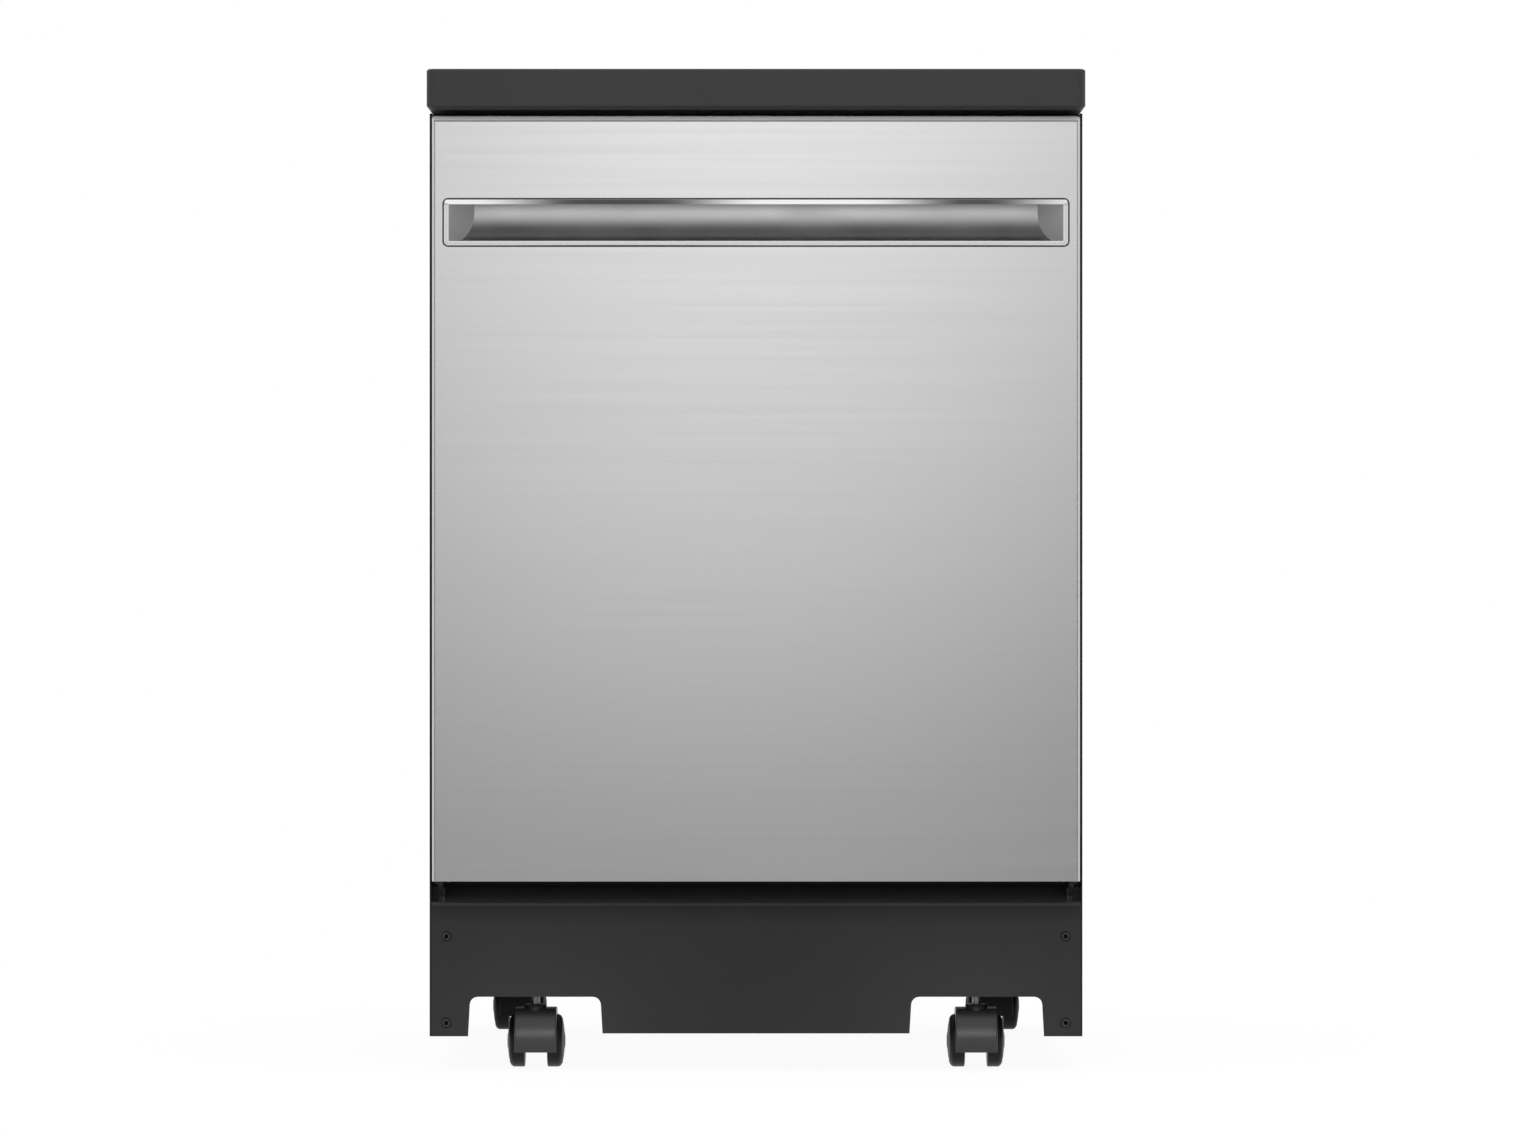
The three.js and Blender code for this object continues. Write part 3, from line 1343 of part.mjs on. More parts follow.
// ------------------------------------------------------------- casters ----
// About the stem's axis at floor level, the wheels trailing towards +Y.
function makeCasterHood() {
  const wellRadius = casterWheelRadius + casterFenderGap;
  const axleZ = casterWheelRadius;
  const fenderRadius = casterHoodTopZ - axleZ;
  const fender = spread(casterHoodRearAngle, 90, 8).map((degrees) => {
    const angle = THREE.MathUtils.degToRad(degrees);
    return [casterTrail + fenderRadius * Math.cos(angle), axleZ + fenderRadius * Math.sin(angle)];
  });
  const nose = spread(casterHoodTopZ, casterHoodBottomZ, 8).map((z) => {
    const back = casterNoseRadius - Math.sqrt(casterNoseRadius ** 2 - (z - casterNoseZ) ** 2);
    return [back - casterNose, z, z === casterHoodTopZ ? casterNoseEase : 0];
  });
  const heel = [casterTrail + wellRadius / 2, casterHoodBottomZ];
  const halfFender = casterFenderWidth / 2;
  const halfWeb = casterWeb / 2;
  const block = alongX(rounded([...fender, ...nose, heel]), -halfFender, halfFender);
  const collar = rod("z", casterCollarRadius, axleZ + 12, casterCollarTopZ, 0, 0, 16);
  const wells = [-1, 1].map((s) => rod(
    "x", wellRadius, Math.min(s * halfWeb, s * (halfFender + 4)),
    Math.max(s * halfWeb, s * (halfFender + 4)), casterTrail, axleZ, 22,
  ));
  const axleHalf = casterWheelGap / 2 + casterWheelWidth - casterAxleInset;
  const axle = rod("x", casterAxleRadius, -axleHalf, axleHalf, casterTrail, axleZ, 12);
  const bore = rod(
    "z", casterStemRadius + runningGap, casterStemBottomZ - 2, casterCollarTopZ + 1, 0, 0, 12,
  );
  return cut(join(cut(join(block, collar), ...wells), axle), bore);
}

// About its own axle along +X from its inner face, with flats instead of a true circle.
function makeCasterWheel() {
  const flat = 1 / Math.cos(Math.PI / wheelSides);
  const r = casterWheelRadius * flat;
  const bore = (casterAxleRadius + runningGap) * flat;
  const w = casterWheelWidth;
  const profile = [
    [bore, 0],
    [r, 0],
    [r, w * 0.6],
    [r * 0.93, w * 0.76],
    [r * 0.78, w * 0.87],
    [r * 0.45, w * 0.96],
    [bore, w],
    [bore, 0],
  ].map(([radius, h]) => new THREE.Vector2(radius, h));
  const turned = new THREE.LatheGeometry(profile, wheelSides);
  return turned.rotateZ(-Math.PI / 2).rotateX(Math.PI / wheelSides);
}

function makeCasterStem() {
  const top = frameBottomZ + casterShankLength - 1;
  return join(
    rod("z", casterStemRadius, casterStemBottomZ, frameBottomZ + 2, 0, 0, 12),
    rod("z", casterShankRadius, frameBottomZ + seatGap, top, 0, 0, 12),
  );
}

// ------------------------------------------------------------ assembly ----
const paint = (color, roughness, metalness) => new THREE.MeshStandardMaterial({
  color, roughness, metalness,
});
const finishes = {
  blackTop: paint(0x3f3f40, 0.5, 0),
  blackPaint: paint(0x242425, 0.45, 0.2),
  kickPaint: paint(0x343435, 0.5, 0.2),
  stainless: paint(0xc9c9c9, 0.32, 1),
  polished: paint(0xd8d8d8, 0.15, 1),
  galvanised: paint(0x9a9da0, 0.5, 0.9),
  steel: paint(0xa9abad, 0.3, 1),
  rubber: paint(0x3a3b3d, 0.85, 0),
  darkPlastic: paint(0x1f2022, 0.5, 0),
  casterPlastic: paint(0x2e2f31, 0.45, 0),
  greyPlastic: paint(0x8e9195, 0.55, 0),
  whitePlastic: paint(0xe8e9ea, 0.45, 0),
  rackCoat: paint(0x8b8f94, 0.5, 0),
};

const dishwasher = new THREE.Group();

function place(parent, name, geometry, finish, x = 0, y = 0, z = 0) {
  const mesh = new THREE.Mesh(geometry, finishes[finish]);
  mesh.name = name;
  mesh.position.set(x, y, z);
  parent.add(mesh);
  return mesh;
}

function group(parent, x = 0, y = 0, z = 0) {
  const made = new THREE.Group();
  made.position.set(x, y, z);
  parent.add(made);
  return made;
}

const cabinet = group(dishwasher);
const sidePanel = makeSidePanel();
place(cabinet, "worktop", makeWorktop(), "blackTop");
place(cabinet, "side_panel_right", sidePanel, "blackPaint");
place(cabinet, "side_panel_left", mirrored(sidePanel), "blackPaint");
place(cabinet, "rear_panel", makeRearPanel(), "galvanised");
place(cabinet, "hose_bay", makeHoseBay(), "darkPlastic");
place(cabinet, "base_frame", makeBaseFrame(), "blackPaint");
place(cabinet, "toe_kick", makeToeKick(), "kickPaint");
for (const [level, z] of [["upper", kickScrewUpperZ], ["lower", kickScrewLowerZ]]) {
  for (const [side, s] of [["left", -1], ["right", 1]]) {
    place(cabinet, `toe_kick_screw_${level}_${side}`, makeScrew(), "darkPlastic",
      s * kickScrewX, cabinetFrontY - seatGap, z);
  }
}

const rail = makeRail();
const spring = makeSpring();
place(cabinet, "tub", makeTub(), "stainless");
place(cabinet, "tub_gasket", makeGasket(), "rubber");
place(cabinet, "sump", makeSump(), "darkPlastic");
place(cabinet, "wash_pump", makePump(
  -1, washVoluteRadius, washVoluteLength, washMotorRadius, washMotorLength,
), "greyPlastic");
place(cabinet, "drain_pump", makePump(
  1, drainVoluteRadius, drainVoluteLength, drainMotorRadius, drainMotorLength,
), "greyPlastic");
place(cabinet, "inlet_valve", makeInletValve(), "whitePlastic");
place(cabinet, "heating_element", makeHeater(), "steel");
place(cabinet, "spray_riser", makeSprayRiser(), "greyPlastic");
place(cabinet, "filter_plate", makeFilterPlate(), "stainless");
place(cabinet, "latch_strike", makeStrike(), "steel");
place(cabinet, "rack_rail_right", rail, "stainless");
place(cabinet, "rack_rail_left", mirrored(rail), "stainless");
place(cabinet, "door_spring_right", spring, "steel");
place(cabinet, "door_spring_left", mirrored(spring), "steel");

const wetEnd = group(cabinet, 0, wetCentreY);
place(wetEnd, "lower_spray_arm", makeSprayArm(
  postRadius + runningGap, postTopZ - armHubZ + seatGap,
), "greyPlastic", 0, 0, armHubZ);
place(cabinet, "filter_cylinder", makeFilterCylinder(), "greyPlastic");
place(cabinet, "float", makeFloat(), "greyPlastic");

const upperRack = group(cabinet);
place(upperRack, "upper_rack", makeUpperRack(), "rackCoat");
place(upperRack, "upper_feed_tube", makeFeedTube(), "greyPlastic");
place(upperRack, "upper_spray_arm", makeSprayArm(
  riserRadius + runningGap, armHubHeight + 1,
), "greyPlastic", 0, wetCentreY, upperArmHubZ);

const lowerRack = group(cabinet);
place(lowerRack, "lower_rack", makeLowerRack(), "rackCoat");
place(lowerRack, "silverware_basket", makeBasket(), "greyPlastic");

const door = group(dishwasher);
const hinge = makeHinge();
place(door, "door_outer_panel", makeOuterPanel(), "stainless");
place(door, "handle_pocket", makeHandlePocket(), "polished");
place(door, "door_inner_panel", makeInnerPanel(), "stainless");
place(door, "control_fascia", makeFascia(), "darkPlastic");
place(door, "dispenser_body", makeDispenserBody(), "greyPlastic");
place(door, "dispenser_lid", makeDispenserLid(), "whitePlastic");
place(door, "rinse_cap", makeRinseCap(), "darkPlastic",
  dispenserWidth / 2 - rinseInset, 0, dispenserBottomZ + dispenserHeight / 2);
place(door, "door_hinge_right", hinge, "blackPaint");
place(door, "door_hinge_left", mirrored(hinge), "blackPaint");
const buttonY = (doorFrontY + doorTopReturn + seatGap + linerY - 1) / 2;
place(door, "start_button", makeButton(), "greyPlastic", buttonX, buttonY, doorTopZ);
place(door, "cycle_button", makeButton(), "greyPlastic", -buttonX, buttonY, doorTopZ);

const casterPlaces = [
  ["front_left", -frontCasterX, frontCasterY],
  ["front_right", frontCasterX, frontCasterY],
  ["rear_left", -rearCasterX, rearCasterY],
  ["rear_right", rearCasterX, rearCasterY],
];
for (const [corner, x, y] of casterPlaces) {
  const caster = group(dishwasher, x, y);
  place(caster, `caster_stem_${corner}`, makeCasterStem(), "steel");
  place(caster, `caster_hood_${corner}`, makeCasterHood(), "casterPlastic");
  for (const side of [-1, 1]) {
    const wheel = side > 0 ? makeCasterWheel() : mirrored(makeCasterWheel());
    const where = side * x < 0 ? "inner" : "outer";
    place(caster, `caster_wheel_${corner}_${where}`, wheel, "casterPlastic",
      (side * casterWheelGap) / 2, casterTrail, casterWheelRadius);
  }
}

export default dishwasher;
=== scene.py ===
import math

import bmesh
import bpy
from bpy.props import FloatProperty, FloatVectorProperty, IntProperty, PointerProperty
from mathutils import Matrix, Vector


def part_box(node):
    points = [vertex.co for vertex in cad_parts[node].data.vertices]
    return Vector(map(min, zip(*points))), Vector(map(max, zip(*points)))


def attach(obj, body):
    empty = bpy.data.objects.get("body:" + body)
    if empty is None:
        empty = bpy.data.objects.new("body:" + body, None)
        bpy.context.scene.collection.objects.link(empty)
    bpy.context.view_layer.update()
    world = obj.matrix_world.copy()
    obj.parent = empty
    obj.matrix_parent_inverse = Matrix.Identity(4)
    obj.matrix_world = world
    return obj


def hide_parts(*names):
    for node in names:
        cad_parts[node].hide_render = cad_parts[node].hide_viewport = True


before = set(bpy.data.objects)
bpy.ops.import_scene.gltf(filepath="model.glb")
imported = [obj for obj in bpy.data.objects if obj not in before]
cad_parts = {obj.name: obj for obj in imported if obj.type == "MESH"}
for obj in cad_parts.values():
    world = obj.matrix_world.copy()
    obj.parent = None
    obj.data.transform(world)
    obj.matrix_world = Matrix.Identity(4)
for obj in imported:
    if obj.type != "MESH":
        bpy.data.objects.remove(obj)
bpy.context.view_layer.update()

bl_info = {
    "name": "Portable Dishwasher",
    "version": (1, 0, 0),
    "blender": (4, 5, 0),
    "location": "View3D > Sidebar > Dishwasher",
    "description": "Dresses the dishwasher's frame with its surfaces, racks, spray arms and casters",
    "category": "Object",
}

CORNERS = ("front_left", "front_right", "rear_left", "rear_right")
WHEEL_RADIUS = 0.025
RIM_DEPTH = 0.0034  # of the handle's rim behind the door's face
CARD_HEIGHT = 2.6  # of the studio card in front
WIRE_BEND = 0.013  # radius of the racks' bent wires


# ---------------------------------------------------------------------------
# Settings
# ---------------------------------------------------------------------------
def colour(name, description, default):
    return FloatVectorProperty(
        name=name, description=description, subtype="COLOR", size=3, min=0.0, max=1.0, default=default
    )


def length(name, description, default):
    return FloatProperty(name=name, description=description, unit="LENGTH", precision=4, default=default)


class DishwasherCabinetSettings(bpy.types.PropertyGroup):
    worktop_colour: colour("Worktop", "Dark laminate of the worktop", (0.019, 0.019, 0.020))
    # The tub's near black below this height is painted shade of the recess under the door.
    painted_shade_height: length("Skirt height", "Top of the tub's black damping coat above the floor", 0.1785)
    side_colour: colour("Side panels", "Satin black paint of the sides", (0.010, 0.010, 0.011))
    kick_colour: colour("Toe kick", "Dark grey paint of the toe kick", (0.018, 0.018, 0.019))
    fold_height: length("Fold height", "Of the toe kick's upper fold above the floor", 0.1585)
    edge_round: length("Edge round", "Radius of the folded and moulded edges", 0.0006)
    louvre_count: IntProperty(name="Louvres", description="Rows of vents in the rear panel", default=9, min=0)


class DishwasherDoorSettings(bpy.types.PropertyGroup):
    steel_colour: colour("Stainless", "Brushed steel of the door", (0.60, 0.60, 0.60))
    rim_width: length("Handle rim", "Width of the bright rim round the pocket handle", 0.0055)
    pocket_depth: length("Pocket depth", "Depth of the pocket handle behind the door's face", 0.030)
    # The black ring round the rim is painted shade of the gap between the rim and the door.
    gap_shade_width: length("Handle seal", "Width of the black seal round the rim", 0.0010)
    end_slope: length("Pocket end slope", "How far the pocket's ends lean in towards its back", 0.0232)


class DishwasherRackSettings(bpy.types.PropertyGroup):
    wire_radius: length("Wire radius", "Radius of the coated rack wire", 0.0019)
    rim_radius: length("Rim radius", "Radius of the racks' rim wire", 0.0025)
    coat_colour: colour("Rack coat", "Vinyl coat of the wire", (0.20, 0.21, 0.23))
    tine_pitch: length("Tine pitch", "Spacing of the plate tines", 0.027)
    half_width: length("Rack half width", "From a rack's middle to its side wires", 0.248)


class DishwasherCasterSettings(bpy.types.PropertyGroup):
    hood_colour: colour("Hood", "Moulded plastic of the caster hoods", (0.017, 0.017, 0.018))
    wheel_colour: colour("Wheel", "Plastic of the caster wheels", (0.007, 0.007, 0.008))
    # The rear casters get a darker copy of the plastic: painted shade under the appliance.
    rear_painted_shade_colour: colour("Rear casters", "Plastic of the rear casters", (0.004, 0.004, 0.004))
    wheel_steps: IntProperty(name="Wheel steps", description="Facets round each wheel", default=56, min=16)


class DishwasherStageSettings(bpy.types.PropertyGroup):
    camera_distance: length("Camera distance", "From the camera to the door's face", 6.001)
    camera_height: length("Camera height", "Of the lens above the floor", 0.4745)
    camera_side: length("Camera offset", "Of the lens to the right of the middle", 0.0014)
    lens: FloatProperty(name="Lens", description="Focal length", default=152.5, min=1.0)
    floor_reach: length("Floor reach", "Radius of the floor", 9.0)


# ---------------------------------------------------------------------------
# Mesh helpers
# ---------------------------------------------------------------------------
def link(name, mesh):
    """Puts a mesh in the scene as an object."""
    obj = bpy.data.objects.new(name, mesh)
    bpy.context.scene.collection.objects.link(obj)
    return obj


def finish_piece(bm, name, body, finish_name, replaces=(), smooth_angle=32, bevel=0.0):
    """Turns a bmesh into a piece that rides on a body and stands for its CAD nodes."""
    mesh = bpy.data.meshes.new(name)
    bm.normal_update()
    bm.to_mesh(mesh)
    bm.free()
    obj = link(name, mesh)
    dress(obj, finish_name, smooth_angle, bevel)
    if replaces:
        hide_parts(*replaces)
    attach(obj, body)
    return obj


def dress(obj, finish_name, smooth_angle=32, bevel=0.0):
    """Gives a piece its finish, smooth shading and rounded edges."""
    mesh = obj.data
    mesh.materials.clear()
    mesh.materials.append(finish(finish_name))
    mesh.shade_smooth()
    mesh.set_sharp_from_angle(angle=math.radians(smooth_angle))
    if bevel > 0:
        edges = obj.modifiers.new("Rounded edges", "BEVEL")
        edges.width = bevel
        edges.segments = 2
        edges.limit_method = "ANGLE"
        edges.angle_limit = math.radians(smooth_angle)
        edges.use_clamp_overlap = True
        edges.harden_normals = True


def dress_nodes(names, finish_name, bevel=0.0):
    """Dresses solids of the frame that show as they are."""
    for name in names:
        dress(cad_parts[name], finish_name, bevel=bevel)


def add_box(bm, low, high):
    """Adds a box between two corners."""
    low, high = Vector(low), Vector(high)
    matrix = Matrix.Translation((low + high) / 2) @ Matrix.Diagonal((*(high - low), 1))
    bmesh.ops.create_cube(bm, size=1, matrix=matrix)


def add_rings(bm, rings, closed=False, cap=True):
    """Skins rings of equal length, each a list of points, in order."""
    rows = [[bm.verts.new(p) for p in ring] for ring in rings]
    pairs = list(zip(rows, rows[1:]))
    if closed:
        pairs.append((rows[-1], rows[0]))
    for a, b in pairs:
        count = len(a)
        for k in range(count):
            n = (k + 1) % count
            bm.faces.new((a[k], a[n], b[n], b[k]))
    if cap and not closed:
        bm.faces.new(reversed(rows[0]))
        bm.faces.new(rows[-1])
    return rows


def add_lathe(bm, profile, centre, axis="z", steps=32, sign=1):
    """Turns a closed profile of (radius, height) round an axis through centre."""
    centre = Vector(centre)
    rings = []
    for radius, height in profile:
        ring = []
        for a in turns(steps):
            u, v, w = radius * math.cos(a), radius * math.sin(a), height * sign
            ring.append(centre + Vector({"z": (u, v, w), "x": (w, u, v), "y": (v, w, u)}[axis]))
        rings.append(ring)
    solid = profile[0][0] < 1e-6
    if solid:
        rings = rings[1:-1] if profile[-1][0] < 1e-6 else rings[1:]
    add_rings(bm, rings, closed=not solid, cap=solid)


def add_sweep(bm, path, radius, closed=False, sides=8):
    """Sweeps a round wire along a path of points."""
    path = [Vector(p) for p in path]
    count = len(path)
    tangents = []
    for i in range(count):
        before = path[i - 1] if i or closed else path[i]
        after = path[(i + 1) % count] if i + 1 < count or closed else path[i]
        tangents.append((after - before).normalized())
    start = Vector((0, 0, 1)) if abs(tangents[0].z) < 0.9 else Vector((1, 0, 0))
    side = tangents[0].cross(start).normalized()
    rings = []
    for i, (point, tangent) in enumerate(zip(path, tangents)):
        if i:
            side = (tangents[i - 1].rotation_difference(tangent) @ side).normalized()
        up = tangent.cross(side).normalized()
        rings.append([point + radius * (math.cos(a) * side + math.sin(a) * up) for a in turns(sides)])
    add_rings(bm, rings, closed=closed, cap=not closed)


def round_path(points, radius, steps=5, closed=False):
    """Replaces each corner of a path with a smooth bend."""
    points = [Vector(p) for p in points]
    count = len(points)
    out = []
    for i, corner in enumerate(points):
        if not closed and i in (0, count - 1):
            out.append(corner)
            continue
        before, after = points[i - 1], points[(i + 1) % count]
        reach = min(radius, (before - corner).length * 0.48, (after - corner).length * 0.48)
        a = corner + (before - corner).normalized() * reach
        b = corner + (after - corner).normalized() * reach
        for k in range(steps + 1):
            t = k / steps
            out.append((1 - t) ** 2 * a + 2 * t * (1 - t) * corner + t**2 * b)
    return out


def rounded_rectangle(u0, u1, v0, v1, radius, steps=5):
    """Corner-rounded outline as (u, v) pairs, anticlockwise."""
    out = []
    corners = ((u1 - radius, v0 + radius, -90), (u1 - radius, v1 - radius, 0),
               (u0 + radius, v1 - radius, 90), (u0 + radius, v0 + radius, 180))
    for cu, cv, start in corners:
        for k in range(steps + 1):
            a = math.radians(start + 90 * k / steps)
            out.append((cu + radius * math.cos(a), cv + radius * math.sin(a)))
    return out


def spread(low, high, count):
    """Evenly spaced values from low to high, both included."""
    return [low + (high - low) * i / (count - 1) for i in range(count)]


def turns(count):
    """The angles of equal steps round a full turn."""
    return [2 * math.pi * k / count for k in range(count)]


def midpoint(low, high):
    return [(a + b) / 2 for a, b in zip(low, high)]


def add_turned_box(bm, at, angle, axis, size, shift=(0, 0, 0)):
    """Adds a box that is shifted and then turned about an axis through a point."""
    matrix = Matrix.Translation(at) @ Matrix.Rotation(angle, 4, axis) @ Matrix.Translation(shift)
    bmesh.ops.create_cube(bm, size=1, matrix=matrix @ Matrix.Diagonal((*size, 1)))


def recalc(bm):
    bmesh.ops.recalc_face_normals(bm, faces=bm.faces)


# ---------------------------------------------------------------------------
# Shader effects
# ---------------------------------------------------------------------------
def new_group(name, inputs, outputs):
    """An empty shader group with its sockets."""
    tree = bpy.data.node_groups.new(name, "ShaderNodeTree")
    for label, kind, default in inputs:
        item = tree.interface.new_socket(name=label, in_out="INPUT", socket_type=kind)
        if default is not None:
            item.default_value = default
    for label, kind in outputs:
        tree.interface.new_socket(name=label, in_out="OUTPUT", socket_type=kind)
    return tree, tree.nodes.new("NodeGroupInput"), tree.nodes.new("NodeGroupOutput")


def add_node(tree, kind, settings=(), **values):
    """Adds a node, sets its properties, and sets or links its inputs."""
    node = tree.nodes.new(kind)
    for key, value in dict(settings).items():
        setattr(node, key, value)
    for key, value in values.items():
        target = node.inputs[int(key[1:])] if key[0] == "i" and key[1:].isdigit() else node.inputs[key]
        if isinstance(value, bpy.types.NodeSocket):
            tree.links.new(value, target)
        else:
            target.default_value = value
    return node


def combine(tree, operation, a, b, clamp=False):
    """The result of a maths node on two values or sockets."""
    return add_node(tree, "ShaderNodeMath", {"operation": operation, "use_clamp": clamp}, i0=a, i1=b).outputs[0]


def ranged(tree, value, target, source=(0.0, 1.0), smooth=False):
    """Maps a value from one range to another, straight or eased at both ends."""
    kind = "SMOOTHSTEP" if smooth else "LINEAR"
    node = add_node(tree, "ShaderNodeMapRange", {"interpolation_type": kind}, Value=value)
    for key, level in zip(("From Min", "From Max", "To Min", "To Max"), (*source, *target)):
        node.inputs[key].default_value = level
    return node.outputs[0]


def object_place(tree):
    """The outputs X, Y and Z of a point's place in the part."""
    where = add_node(tree, "ShaderNodeTexCoord")
    return add_node(tree, "ShaderNodeSeparateXYZ", i0=where.outputs["Object"]).outputs


def grey_ramp(tree, factor, stops):
    """Maps a value through (position, level) stops."""
    ramp = add_node(tree, "ShaderNodeValToRGB", i0=factor)
    elements = ramp.color_ramp.elements
    while len(elements) < len(stops):
        elements.new(0.5)
    for element, (position, level) in zip(elements, stops):
        element.position = position
        element.color = (level, level, level, 1)
    return ramp.outputs["Color"]


def brushed_grain_group():
    """Fine parallel scratches of brushed sheet, long along one axis of the part."""
    tree, given, out = new_group(
        "Brushed grain",
        [("Along", "NodeSocketVector", (6.0, 900.0, 900.0)), ("Cloud", "NodeSocketFloat", 3.0)],
        [("Fine", "NodeSocketFloat"), ("Streak", "NodeSocketFloat"), ("Cloud", "NodeSocketFloat")],
    )
    where = add_node(tree, "ShaderNodeTexCoord")
    stretched = add_node(tree, "ShaderNodeVectorMath", {"operation": "MULTIPLY"},
                         i0=where.outputs["Object"], i1=given.outputs["Along"])
    fine = add_node(tree, "ShaderNodeTexNoise", Vector=stretched.outputs[0],
                    Scale=1.0, Detail=3.0, Roughness=0.65)
    slower = add_node(tree, "ShaderNodeVectorMath", {"operation": "MULTIPLY"},
                      i0=stretched.outputs[0], i1=(0.45, 0.22, 0.22))
    streak = add_node(tree, "ShaderNodeTexNoise", Vector=slower.outputs[0],
                      Scale=1.0, Detail=2.0, Roughness=0.5)
    cloud = add_node(tree, "ShaderNodeTexNoise", Vector=where.outputs["Object"],
                     Scale=given.outputs["Cloud"], Detail=2.0, Roughness=0.5)
    tree.links.new(fine.outputs["Fac"], out.inputs["Fine"])
    tree.links.new(streak.outputs["Fac"], out.inputs["Streak"])
    tree.links.new(cloud.outputs["Fac"], out.inputs["Cloud"])
    return tree


def moulded_grain_group():
    """Fine pebble of moulded plastic, sprayed paint and laminate, with a slow unevenness."""
    tree, given, out = new_group(
        "Moulded grain",
        [("Grain", "NodeSocketFloat", 1400.0), ("Patch", "NodeSocketFloat", 12.0)],
        [("Pebble", "NodeSocketFloat"), ("Patch", "NodeSocketFloat")],
    )
    where = add_node(tree, "ShaderNodeTexCoord")
    pebble = add_node(tree, "ShaderNodeTexNoise", Vector=where.outputs["Object"],
                      Scale=given.outputs["Grain"], Detail=3.0, Roughness=0.6)
    patch = add_node(tree, "ShaderNodeTexNoise", Vector=where.outputs["Object"],
                     Scale=given.outputs["Patch"], Detail=4.0, Roughness=0.55)
    tree.links.new(pebble.outputs["Fac"], out.inputs["Pebble"])
    tree.links.new(patch.outputs["Fac"], out.inputs["Patch"])
    return tree


def settled_dust_group():
    """Pale dust that lies where a surface faces up, broken up by noise."""
    tree, given, out = new_group(
        "Settled dust", [("Amount", "NodeSocketFloat", 0.2)], [("Mask", "NodeSocketFloat")]
    )
    geometry = add_node(tree, "ShaderNodeNewGeometry")
    split = add_node(tree, "ShaderNodeSeparateXYZ", i0=geometry.outputs["Normal"])
    facing = combine(tree, "POWER", split.outputs["Z"], 3.0)
    noise = add_node(tree, "ShaderNodeTexNoise", Scale=90.0, Detail=5.0, Roughness=0.7)
    broken = combine(tree, "MULTIPLY", facing, noise.outputs["Fac"], clamp=True)
    tree.links.new(combine(tree, "MULTIPLY", broken, given.outputs["Amount"], clamp=True), out.inputs["Mask"])
    return tree


def rubbed_edge_group():
    """Where an edge is rubbed bright: a thin line along convex edges, broken up by noise."""
    tree, given, out = new_group(
        "Rubbed edge", [("Amount", "NodeSocketFloat", 0.5)], [("Mask", "NodeSocketFloat")]
    )
    geometry = add_node(tree, "ShaderNodeNewGeometry")
    convex = ranged(tree, geometry.outputs["Pointiness"], (0.0, 1.0), source=(0.52, 0.62))
    noise = add_node(tree, "ShaderNodeTexNoise", Scale=60.0, Detail=4.0, Roughness=0.7)
    broken = combine(tree, "MULTIPLY", convex, noise.outputs["Fac"], clamp=True)
    tree.links.new(combine(tree, "MULTIPLY", broken, given.outputs["Amount"], clamp=True), out.inputs["Mask"])
    return tree


EFFECTS = {}


def effect(name):
    """The shader group of that name, built once."""
    builders = {
        "Brushed grain": brushed_grain_group,
        "Moulded grain": moulded_grain_group,
        "Settled dust": settled_dust_group,
        "Rubbed edge": rubbed_edge_group,
    }
    if name not in EFFECTS:
        EFFECTS[name] = builders[name]()
    return EFFECTS[name]


def place_effect(tree, name, **values):
    """Adds a shader group to a material and sets its inputs."""
    node = tree.nodes.new("ShaderNodeGroup")
    node.node_tree = effect(name)
    for key, value in values.items():
        node.inputs[key].default_value = value
    return node


def start_material(name):
    """A new material with its node tree and surface shader."""
    material = bpy.data.materials.new(name)
    material.use_nodes = True
    return material, *shader_of(material)


def shader_of(material):
    """A material's node tree and its surface shader."""
    tree = material.node_tree
    return tree, next(n for n in tree.nodes if n.type == "BSDF_PRINCIPLED")


def mix_colour(tree, factor, a, b, blend="MIX"):
    """Blends two colours, each given as a value or a socket."""
    node = tree.nodes.new("ShaderNodeMix")
    node.data_type = "RGBA"
    node.blend_type = blend
    for index, value in ((0, factor), (6, a), (7, b)):
        if isinstance(value, bpy.types.NodeSocket):
            tree.links.new(value, node.inputs[index])
        elif index == 0:
            node.inputs[index].default_value = value
        else:
            node.inputs[index].default_value = (*value, 1)
    return node.outputs[2]


def scaled(rgb, factor):
    """A colour made lighter or darker by a factor."""
    return tuple(min(1.0, c * factor) for c in rgb)


def brushed_metal(name, rgb, roughness, along=(6.0, 900.0, 900.0), depth=0.00002, contrast=0.06):
    """Sheet with a straight brushed grain that shows in its colour, gloss and surface."""
    material, tree, shader = start_material(name)
    grain = place_effect(tree, "Brushed grain", Along=along, Cloud=3.0)
    base = mix_colour(tree, grain.outputs["Fine"], scaled(rgb, 1 - contrast), scaled(rgb, 1 + contrast))
    tone = mix_colour(tree, grain.outputs["Streak"], scaled(rgb, 1 - contrast), scaled(rgb, 1 + contrast))
    mixed = mix_colour(tree, 0.5, base, tone)
    tree.links.new(mixed, shader.inputs["Base Color"])
    rough = ranged(tree, grain.outputs["Streak"], (roughness - 0.05, roughness + 0.05))
    tree.links.new(rough, shader.inputs["Roughness"])
    bump = add_node(tree, "ShaderNodeBump", Height=grain.outputs["Fine"], Strength=0.35, Distance=depth)
    tree.links.new(bump.outputs["Normal"], shader.inputs["Normal"])
    shader.inputs["Metallic"].default_value = 1.0
    return material


def polished_metal(name, rgb, roughness):
    """Bright metal with faint polishing swirls."""
    material, tree, shader = start_material(name)
    grain = place_effect(tree, "Moulded grain", Grain=300.0, Patch=18.0)
    base = mix_colour(tree, grain.outputs["Patch"], scaled(rgb, 0.95), scaled(rgb, 1.04))
    tree.links.new(base, shader.inputs["Base Color"])
    rough = ranged(tree, grain.outputs["Patch"], (roughness * 0.75, roughness * 1.25))
    tree.links.new(rough, shader.inputs["Roughness"])
    shader.inputs["Metallic"].default_value = 1.0
    return material


